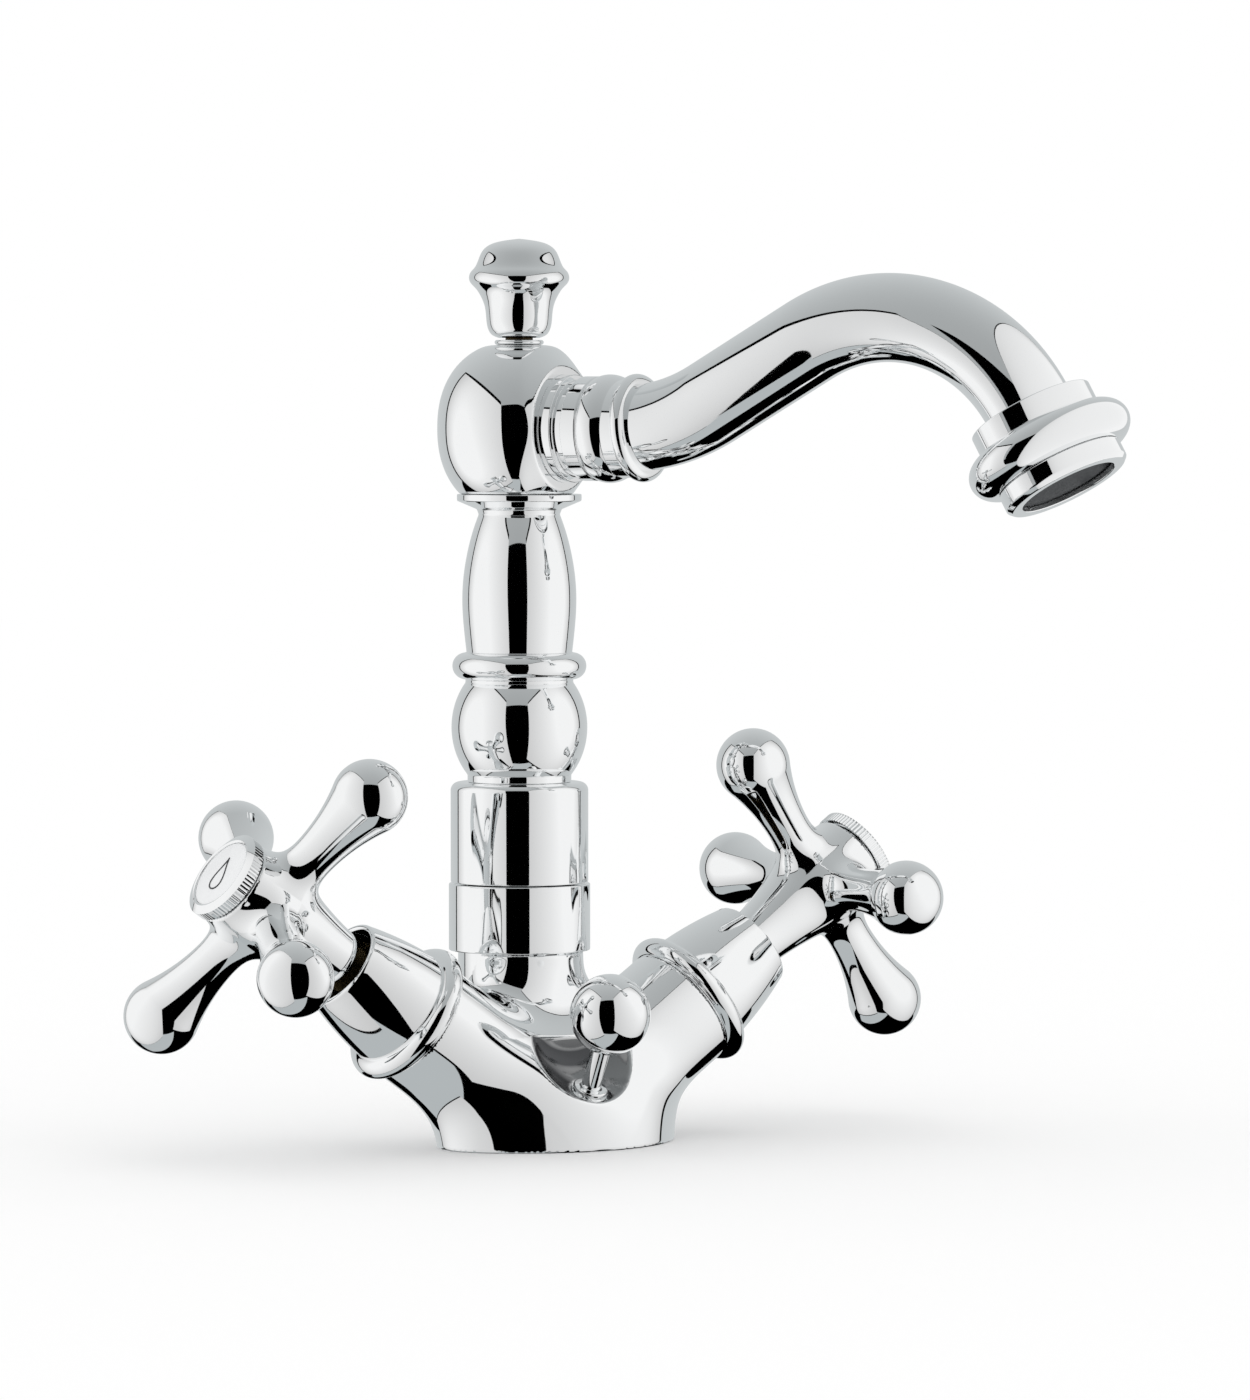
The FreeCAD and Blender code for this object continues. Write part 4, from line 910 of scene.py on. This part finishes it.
grip_radius = rod_radius + fit_gap
grip_angle = math.asin(grip_radius / knob_radius)
grip_end = knob_stand - knob_radius + rod_grip
knob_outline = [
    *arc(0, knob_stand, knob_radius, grip_angle - quarter, quarter, 72)[:-1], (0, knob_stand + knob_radius),
    (0, grip_end), (grip_radius, grip_end)]
turned_piece("lift_knob_ball", "lift_knob", "popup_knob", knob_outline, rod_exit, rod_axis)

rod_foot = (rod_foot_height - rod_exit[2]) / rod_axis[2]
rod_outline = [(0, rod_foot), (rod_radius, rod_foot), (rod_radius, grip_end), (0, grip_end)]
turned_piece("lift_rod_drawn", "lift_knob", "popup_rod", rod_outline, rod_exit, rod_axis)

bush_bore = rod_radius + bush_play
bush_floor = knob_stand - pocket_radius
bush_outline = [
    (bush_bore, -bush_length), (bush_radius, -bush_length), (bush_radius, bush_floor),
    (visible_lip_radius, bush_floor), (visible_lip_radius, bush_top), (bush_bore, bush_top)]
turned_piece("rod_bush", "base", "popup_guide_bush", bush_outline, rod_exit, rod_axis, bush_edge)


# Bonnet covers: turned, tapered covers that are pushed over the valves, each with a half-round
# ring at its foot and an open mouth for the handle's stem. They are plated brass.
cover_ring_section = 2.4
cover_ring_radius = 15.65
cover_foot_radius = 12.95
cover_mouth_radius = 9.9
cover_mouth = 62.0
cover_wall = 1.3
cover_swell = 0.35
cover_lip_bore = 10.4
cover_lip_height = 1.2

cover_ring_top = arm_length + 2 * cover_ring_section
cover_inner = cover_foot_radius - cover_wall
cover_middle = ((cover_foot_radius + cover_mouth_radius) / 2 + cover_swell,
                (cover_ring_top + cover_mouth) / 2)
mouth_edge = cover_mouth - cover_wall / 2
mouth_inner = cover_mouth_radius - cover_wall
cover_outline = [
    *bulge((cover_foot_radius, arm_length), (cover_foot_radius, cover_ring_top),
           cover_ring_radius - cover_foot_radius, 40),
    *arc_through((cover_foot_radius, cover_ring_top), cover_middle, (cover_mouth_radius, mouth_edge))[1:],
    *bulge((cover_mouth_radius, mouth_edge), (mouth_inner, mouth_edge), cover_wall / 2, 10)[1:-1],
    *arc_through((mouth_inner, mouth_edge), (cover_middle[0] - cover_wall, cover_middle[1]),
                 (cover_inner, cover_ring_top)),
    (cover_inner, arm_length + cover_lip_height), (cover_lip_bore, arm_length + cover_lip_height),
    (cover_lip_bore, arm_length)]
for side, axis in arm_axes.items():
    turned_piece(side + "_bonnet_turned", "base", side + "_bonnet_cover", cover_outline, arm_centre, axis)


# Cross handles: cast, polished and plated, with a trumpet-shaped hub on the spindle and four arms
# that swell from a waist into a ball. A screw under the index ring holds each one.
handle_plane = 83.7
handle_bottom = 56.8
handle_face = 93.2
handle_stem_radius = 6.3
handle_stem_end = 59.4
handle_hub_radius = 9.9
handle_hub_height = 82.0
handle_face_radius = 9.4
handle_ball_reach = 31.8
handle_ball_radius = 7.9
handle_waist_radius = 4.6
handle_waist_reach = 14.0
handle_blend = 6.5
handle_edge = 0.7
handle_step = 0.55
handle_recess_radius = 7.0
handle_recess_floor = 84.0
handle_web = 76.4
spindle_bore = 4.03
handle_screw_bore = 2.43
handle_turns = {"hot": math.radians(-28.6), "cold": math.radians(3.05)}


def handle_arm(along, across):
    """Distance to one arm: a round waist, a hollow sweep and the ball that it touches."""
    span = handle_ball_reach - handle_waist_reach
    sweep = (span ** 2 + handle_waist_radius ** 2 - handle_ball_radius ** 2) \
        / (2 * (handle_ball_radius - handle_waist_radius))
    hollow = np.array([handle_waist_reach, handle_waist_radius + sweep])
    toward = hollow - [handle_ball_reach, 0]
    before_ball = (along - handle_ball_reach) * toward[1] - across * toward[0] < 0
    ball = np.hypot(along - handle_ball_reach, across) - handle_ball_radius
    taper = sweep - np.hypot(along - hollow[0], across - hollow[1])
    waist = across - handle_waist_radius
    return np.select([along < handle_waist_reach, before_ball], [waist, taper], ball)


def handle_field(points):
    """Distance field of a cross handle about Z."""
    x, y, z = np.moveaxis(points, -1, 0)
    about = np.hypot(x, y)
    rise = np.clip((z - handle_stem_end) / (handle_hub_height - handle_stem_end), 0, 1)
    crown = np.clip((z - handle_hub_height) / (handle_face - handle_hub_height), 0, 1)
    trumpet = (handle_hub_radius - handle_stem_radius) * rise ** 2 * np.sqrt(2 - rise)
    hub = about - handle_stem_radius - trumpet + (handle_hub_radius - handle_face_radius) * crown ** 2
    hub = trimmed(hub, np.abs(z - (handle_bottom + handle_face) / 2) - (handle_face - handle_bottom) / 2,
                  handle_edge)
    arms = np.minimum(handle_arm(np.abs(x), np.hypot(y, z - handle_plane)),
                      handle_arm(np.abs(y), np.hypot(x, z - handle_plane)))
    cross = trimmed(merged(hub, arms, handle_blend), z - handle_face, handle_edge)
    bores = [(handle_bottom - bore_overrun, handle_web, spindle_bore),
             (handle_web - bore_overrun, handle_face, handle_screw_bore),
             (handle_recess_floor, handle_face + bore_overrun, handle_recess_radius)]
    for low, high, radius in bores:
        hole = np.maximum(about - radius, np.abs(z - (low + high) / 2) - (high - low) / 2)
        cross = trimmed(cross, -hole, handle_edge)
    return cross


handle_reach = handle_ball_reach + handle_ball_radius
handle_height = max(handle_face, handle_plane + handle_ball_radius)
points, faces, normals = field_mesh(handle_field, (-handle_reach, -handle_reach, handle_bottom),
                                    (handle_reach, handle_reach, handle_height), handle_step)
for side, axis in arm_axes.items():
    turn = handle_turns[side]
    spin = np.array([[math.cos(turn), math.sin(turn), 0], [-math.sin(turn), math.cos(turn), 0], [0, 0, 1]])
    spin = spin @ square_to(axis)
    cross = add_object(side + "_cross_handle", points @ spin + arm_centre, faces, normals @ spin)
    set_piece(cross, side + "_handle_set", chrome, "chrome", side + "_handle")


# Index rings: turned rings of plated brass pressed into the handles, with a knurled band to grip
# and a bevel that holds the index disc. The knurls are half-round ribs, set round the band.
index_ring_radius = 9.7
index_ring_height = 3.6
index_bevel_height = 0.8
index_bevel_width = 0.8
index_lip = 0.5
index_lip_drop = 0.15
index_skirt_depth = 4.0
index_neck_height = 0.45
index_neck_inset = 1.7
index_skirt_wall = 1.2
index_disc_radius = 7.5
index_disc_height = 1.4
index_disc_sink = 0.3
knurl_count = 72
knurl_radius = 0.34
knurl_sides = 8

index_top = handle_face + index_ring_height
knurl_top = index_top - index_bevel_height
knurl_bottom = handle_face + index_neck_height
skirt = handle_recess_radius - fit_gap
skirt_inner = skirt - index_skirt_wall
skirt_bottom = handle_face - index_skirt_depth
disc_seat = index_disc_radius + fit_gap
disc_top = index_top - index_disc_sink
disc_bottom = disc_top - index_disc_height
band_radius = index_ring_radius - knurl_radius
ring_neck = band_radius - index_neck_inset
ring_outline = [
    (skirt, skirt_bottom), (skirt, handle_face), (ring_neck, handle_face), (ring_neck, knurl_bottom),
    (band_radius, knurl_bottom), (band_radius, knurl_top),
    *arc_through((index_ring_radius, knurl_top),
                 (index_ring_radius - index_bevel_width, knurl_top + index_bevel_height / 2),
                 (index_disc_radius + index_lip, index_top), 12),
    (disc_seat, index_top - index_lip_drop), (disc_seat, disc_bottom), (skirt_inner, disc_bottom),
    (skirt_inner, skirt_bottom)]


def knurl_tree():
    """Node group that sets half-round ribs round a ring and joins them to it."""
    sizes = {"Rib Count": knurl_count, "Rib Sides": knurl_sides, "Band Radius": band_radius * MM,
             "Rib Radius": knurl_radius * MM, "Rib Length": (knurl_top - knurl_bottom) * MM,
             "Rib Height": (knurl_top + knurl_bottom) / 2 * MM}
    tree, given = node_group("knurl", "Ring", sizes, "Knurled Ring")
    circle = add_node(tree, "GeometryNodeMeshCircle",
                      {"Vertices": given["Rib Count"], "Radius": given["Band Radius"]})
    rib = add_node(tree, "GeometryNodeMeshCylinder", {
        "Vertices": given["Rib Sides"], "Radius": given["Rib Radius"], "Depth": given["Rib Length"]})
    ribs = add_node(tree, "GeometryNodeInstanceOnPoints",
                    {"Points": circle.outputs["Mesh"], "Instance": rib.outputs["Mesh"]})
    lift = add_node(tree, "ShaderNodeCombineXYZ", {"Z": given["Rib Height"]})
    raised = add_node(tree, "GeometryNodeTransform",
                      {"Geometry": ribs.outputs["Instances"], "Translation": lift.outputs[0]})
    joined = add_node(tree, "GeometryNodeJoinGeometry",
                      {"Geometry": [given["Ring"], raised.outputs["Geometry"]]})
    return ended(tree, given, joined.outputs["Geometry"])


knurl = knurl_tree()
for side, axis in arm_axes.items():
    plain_ring = turned(eased(ring_outline, turned_edge), (0, 0, 0), upward)
    index_ring = add_object(side + "_knurled_ring", *plain_ring)
    grown(index_ring, knurl, Finish=chrome)
    set_about(index_ring, arm_centre, axis)
    set_piece(index_ring, side + "_handle_set", chrome, "chrome", side + "_index_ring")


# Index discs: white enamelled discs, slightly domed, that snap into the rings. Each carries a
# plain water drop as its mark, drawn as a thin dark line.
disc_dome = 0.12
drop_length = 7.4
drop_width = 4.6
drop_fullness = 0.66
drop_line = 0.17
drop_sides = 8


def white_enamel():
    """Fired white enamel: glossy, with a faint cloud in the white."""
    return finish("white_enamel", (0.84, 0.85, 0.86), (0.90, 0.91, 0.915), patches=300.0, haze=(0.10, 0.20),
                  haze_scale=700.0, relief=0.000006, relief_scale=500.0)


def dark_ink():
    """Dark fired line of the mark."""
    return finish("dark_ink", (0.012, 0.013, 0.015), (0.03, 0.032, 0.036), patches=900.0, haze=(0.22, 0.38),
                  haze_scale=1500.0)


enamel, ink = white_enamel(), dark_ink()
disc_outline = [
    (0, disc_bottom), (index_disc_radius, disc_bottom), (index_disc_radius, disc_top - disc_dome),
    *((index_disc_radius * s, disc_top - disc_dome * s ** 2) for s in np.linspace(0.96, 0.05, 14)),
    (0, disc_top)]
for side, axis in arm_axes.items():
    turned_piece(side + "_enamel_disc", side + "_handle_set", side + "_index_disc", disc_outline,
                 arm_centre, axis, material=enamel, slot="white_enamel")
    directions = square_to(axis)
    upright = math.copysign(drop_length / 2, directions[0][2])
    drop = [(upright * math.cos(t), drop_width * drop_fullness * math.sin(t) * math.sin(t / 2) ** 2, disc_top)
            for t in np.linspace(0, 2 * math.pi, 72, endpoint=False)]
    mark = path_object(side + "_drop_mark", np.array(drop) @ directions + arm_centre, closed=True)
    grown(mark, swept_bar, Radius=drop_line * MM, Sides=drop_sides, Finish=ink)
    mark.data.materials.clear()
    mark.data.materials.append(ink)
    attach(mark, side + "_handle_set")


# Inner pieces: the brass valves, steel clips and screws, rubber seals and plastic inserts keep
# their own shape, and each kind gets its finish.
valve_nodes = {
    "brass": ("headwork", "spindle", "washer_carrier"),
    "rubber": ("headwork_seal", "spindle_seal", "seat_washer"),
    "steel": ("spindle_clip", "washer_screw", "handle_screw"),
}
single_nodes = {
    "brass": ("swivel_split_ring",),
    "rubber": ("base_gasket", "swivel_seals", "aerator_washer"),
    "grey_plastic": ("swivel_slip_washer", "aerator_insert"),
}


def seal_rubber():
    """Black sealing rubber with a dull, slightly dusty skin."""
    return finish("seal_rubber", (0.012, 0.012, 0.013), (0.035, 0.035, 0.037), patches=500.0,
                  haze=(0.55, 0.8), haze_scale=900.0, relief=0.00001, relief_scale=3000.0)


def moulded_plastic():
    """Grey moulded plastic with a fine matt grain."""
    return finish("moulded_plastic", (0.10, 0.105, 0.11), (0.16, 0.165, 0.17), patches=400.0,
                  haze=(0.38, 0.55), haze_scale=1500.0, relief=0.000008, relief_scale=4000.0)


finishes = {"brass": brass, "rubber": seal_rubber(), "steel": steel, "grey_plastic": moulded_plastic()}
for kind, material in finishes.items():
    in_valves = [side + "_" + name for side in arm_axes for name in valve_nodes.get(kind, ())]
    for name in [*single_nodes.get(kind, ()), *in_valves]:
        inner = frame["nodes"][name]
        inner.data.materials.clear()
        inner.data.materials.append(material)


# Stage: a pale floor under an even white sky, and a light tent that only the plating mirrors.
# The tent has two soft boxes with a dark gap in front, grey walls, and a table on a black floor.
view_turn = math.radians(32.2)
tent_radius = 1.5
tent_front = 0.36
tent_back = 0.62
tent_tint = (0.96, 1.0, 1.01)
tent_columns = 32
tent_rows = 14
tent_limit = math.radians(84.0)
box_glow = (0.60, 0.94)
box_fade_scale = 1.4
box_fade_end = 0.6
box_stand = np.array([0.05, 0.19])
box_turn = math.radians(32.5)
frame_setback = 0.003
left_box = ((0.0, -0.20), (0.42, -0.20), (0.42, 0.377), (0.04, 0.212))
right_box = ((0.008, -0.10), (0.42, -0.16), (0.42, 0.377), (0.008, 0.2155))
left_frame = ((0.0, -0.22), (0.48, -0.22), (0.48, 0.417), (0.04, 0.226))
right_frame = ((0.008, -0.12), (0.48, -0.18), (0.48, 0.417), (0.008, 0.2295))
gap_reach = 0.24
gap_half_width = 0.15
gap_top = 0.245
table_height = -0.23
table_low = (-0.27, -0.29)
table_high = (0.0, 0.30)
table_shade = (0.46, 0.49, 0.5)
dark_floor_height = -0.26
dark_floor_radius = 0.7
dark_floor_corners = 64
floor_half = 3.0


def glow(name, colour=(1, 1, 1)):
    """Glowing material of a colour, its node tree and its emission."""
    material, tree, shader = blank_material(name)
    tree.nodes.remove(shader)
    emission = add_node(tree, "ShaderNodeEmission", {"Color": (*colour, 1)})
    tree.links.new(emission.outputs[0], tree.nodes["Material Output"].inputs["Surface"])
    return material, tree, emission


def soft_box_glow():
    """Soft box: full white in the middle, a little less towards its edges."""
    material, tree, emission = glow("soft_box")
    place = add_node(tree, "ShaderNodeTexCoord").outputs["UV"]
    centred = add_node(tree, "ShaderNodeMapping", {
        "Vector": place, "Location": (-box_fade_scale / 2, -box_fade_scale / 2, 0),
        "Scale": (box_fade_scale, box_fade_scale, 1)})
    fade = add_node(tree, "ShaderNodeTexGradient", {"Vector": centred.outputs["Vector"]},
                    gradient_type="QUADRATIC_SPHERE")
    spread = add_node(tree, "ShaderNodeMapRange", {
        "Value": fade.outputs["Fac"], "From Max": box_fade_end, "To Min": box_glow[0], "To Max": box_glow[1]})
    tree.links.new(spread.outputs["Result"], emission.inputs["Strength"])
    return material


def tent_glow():
    """Grey tent, paler behind the part than in front of it."""
    material, tree, emission = glow("tent", tent_tint)
    place = add_node(tree, "ShaderNodeTexCoord").outputs["Object"]
    depth = add_node(tree, "ShaderNodeSeparateXYZ", {0: place}).outputs["Y"]
    spread = add_node(tree, "ShaderNodeMapRange", {
        "Value": depth, "From Min": tent_radius, "From Max": -tent_radius, "To Min": tent_front,
        "To Max": tent_back})
    tree.links.new(spread.outputs["Result"], emission.inputs["Strength"])
    return material


def stage_card(name, material, points, faces=None):
    """Stage surface of points in metres: one flat face through them, unless faces are given."""
    mesh = bpy.data.meshes.new(name)
    mesh.from_pydata([tuple(p) for p in points], [], faces or [tuple(range(len(points)))])
    mesh.materials.append(material)
    card = placed(name, mesh)
    return card


def corners_of(low, high):
    """Four corners of a rectangle, in turn."""
    return [low, (high[0], low[1]), high, (low[0], high[1])]


def only_mirrored(card):
    """Let only reflections show a card."""
    card.visible_camera = False
    card.visible_diffuse = False
    card.visible_transmission = False
    card.visible_shadow = False


def facing_camera(card):
    """Turn a card's own Y towards the camera, about the column, and let only reflections show it."""
    card.location = (0, column_setback * MM, 0)
    card.rotation_euler = (0, 0, math.pi - view_turn)
    only_mirrored(card)


def wall_card(name, side, outline, setback, material):
    """Upright card beside the camera's line, from an outline of (distance from the gap, height) points."""
    along = np.array([math.sin(box_turn), -math.cos(box_turn)])
    near_end = box_stand + np.array([math.cos(box_turn), math.sin(box_turn)]) * setback
    spots = [(*(near_end + along * s), h) for s, h in outline]
    card = stage_card(name, material, [(-side * r, t, h) for r, t, h in spots])
    layer = card.data.uv_layers.new(name="card")
    low, high = np.min(outline, axis=0), np.max(outline, axis=0)
    for loop, spot in zip(layer.data, outline):
        loop.uv = (spot - low) / (high - low)
    facing_camera(card)


white_cloth, black_cloth = soft_box_glow(), glow("black_cloth", (0, 0, 0))[0]
wall_card("left_box", -1, left_box, 0, white_cloth)
wall_card("right_box", 1, right_box, 0, white_cloth)
wall_card("left_frame", -1, left_frame, frame_setback, black_cloth)
wall_card("right_frame", 1, right_frame, frame_setback, black_cloth)
gap = corners_of((-gap_half_width, dark_floor_height), (gap_half_width, gap_top))
facing_camera(stage_card("front_gap", black_cloth, [(x, gap_reach, z) for x, z in gap]))

tent_points = [(*spot, tent_radius * math.sin(e)) for e in np.linspace(-tent_limit, tent_limit, tent_rows + 1)
               for spot in arc(0, 0, tent_radius * math.cos(e), 0, 2 * math.pi, tent_columns + 1)[:-1]]
tent_faces = [tuple(range(tent_columns)), tuple(range(tent_rows * tent_columns, len(tent_points)))]
for low in range(0, tent_rows * tent_columns, tent_columns):
    for here in range(tent_columns):
        on = (here + 1) % tent_columns
        tent_faces.append((low + here, low + on, low + tent_columns + on, low + tent_columns + here))
facing_camera(stage_card("tent", tent_glow(), tent_points, tent_faces))
rim = arc(0, 0, dark_floor_radius, 0, 2 * math.pi, dark_floor_corners + 1)[:-1]
only_mirrored(stage_card("dark_floor", black_cloth, [(*spot, dark_floor_height) for spot in rim]))
table_top = [(*spot, table_height) for spot in corners_of(table_low, table_high)]
only_mirrored(stage_card("table", glow("table_grey", table_shade)[0], table_top))

pale_floor, _, floor_shader = blank_material("pale_floor")
floor_shader.inputs["Base Color"].default_value = (1, 1, 1, 1)
floor_shader.inputs["Roughness"].default_value = 1.0
floor_shader.inputs["Specular IOR Level"].default_value = 0.0
floor_corners = corners_of((-floor_half, -floor_half), (floor_half, floor_half))
floor = stage_card("floor", pale_floor, [(*spot, 0) for spot in floor_corners])
floor.visible_glossy = False

world = bpy.data.worlds.new("white_sky")
world.use_nodes = True
world.node_tree.nodes["Background"].inputs["Color"].default_value = (1, 1, 1, 1)
world.node_tree.nodes["Background"].inputs["Strength"].default_value = 1.0
bpy.context.scene.world = world
bpy.context.scene.view_settings.view_transform = "Standard"


# Camera: at the photograph's place, on the hot side and about level with the spout's head.
# It looks slightly down, and its long lens has the photograph's width of view.
frame_width, frame_height = 1250, 1400
focal_pixels = 7300.0
sensor = 36.0
camera_place = (-0.8051, -1.3086, 0.1611)
camera_pitch = math.radians(2.52)

camera_data = bpy.data.cameras.new("camera")
camera_data.sensor_width = sensor
camera_data.lens = focal_pixels / max(frame_width, frame_height) * sensor
camera = placed("camera", camera_data)
camera.location = camera_place
camera.rotation_euler = (quarter - camera_pitch, 0, -view_turn)
bpy.context.scene.camera = camera
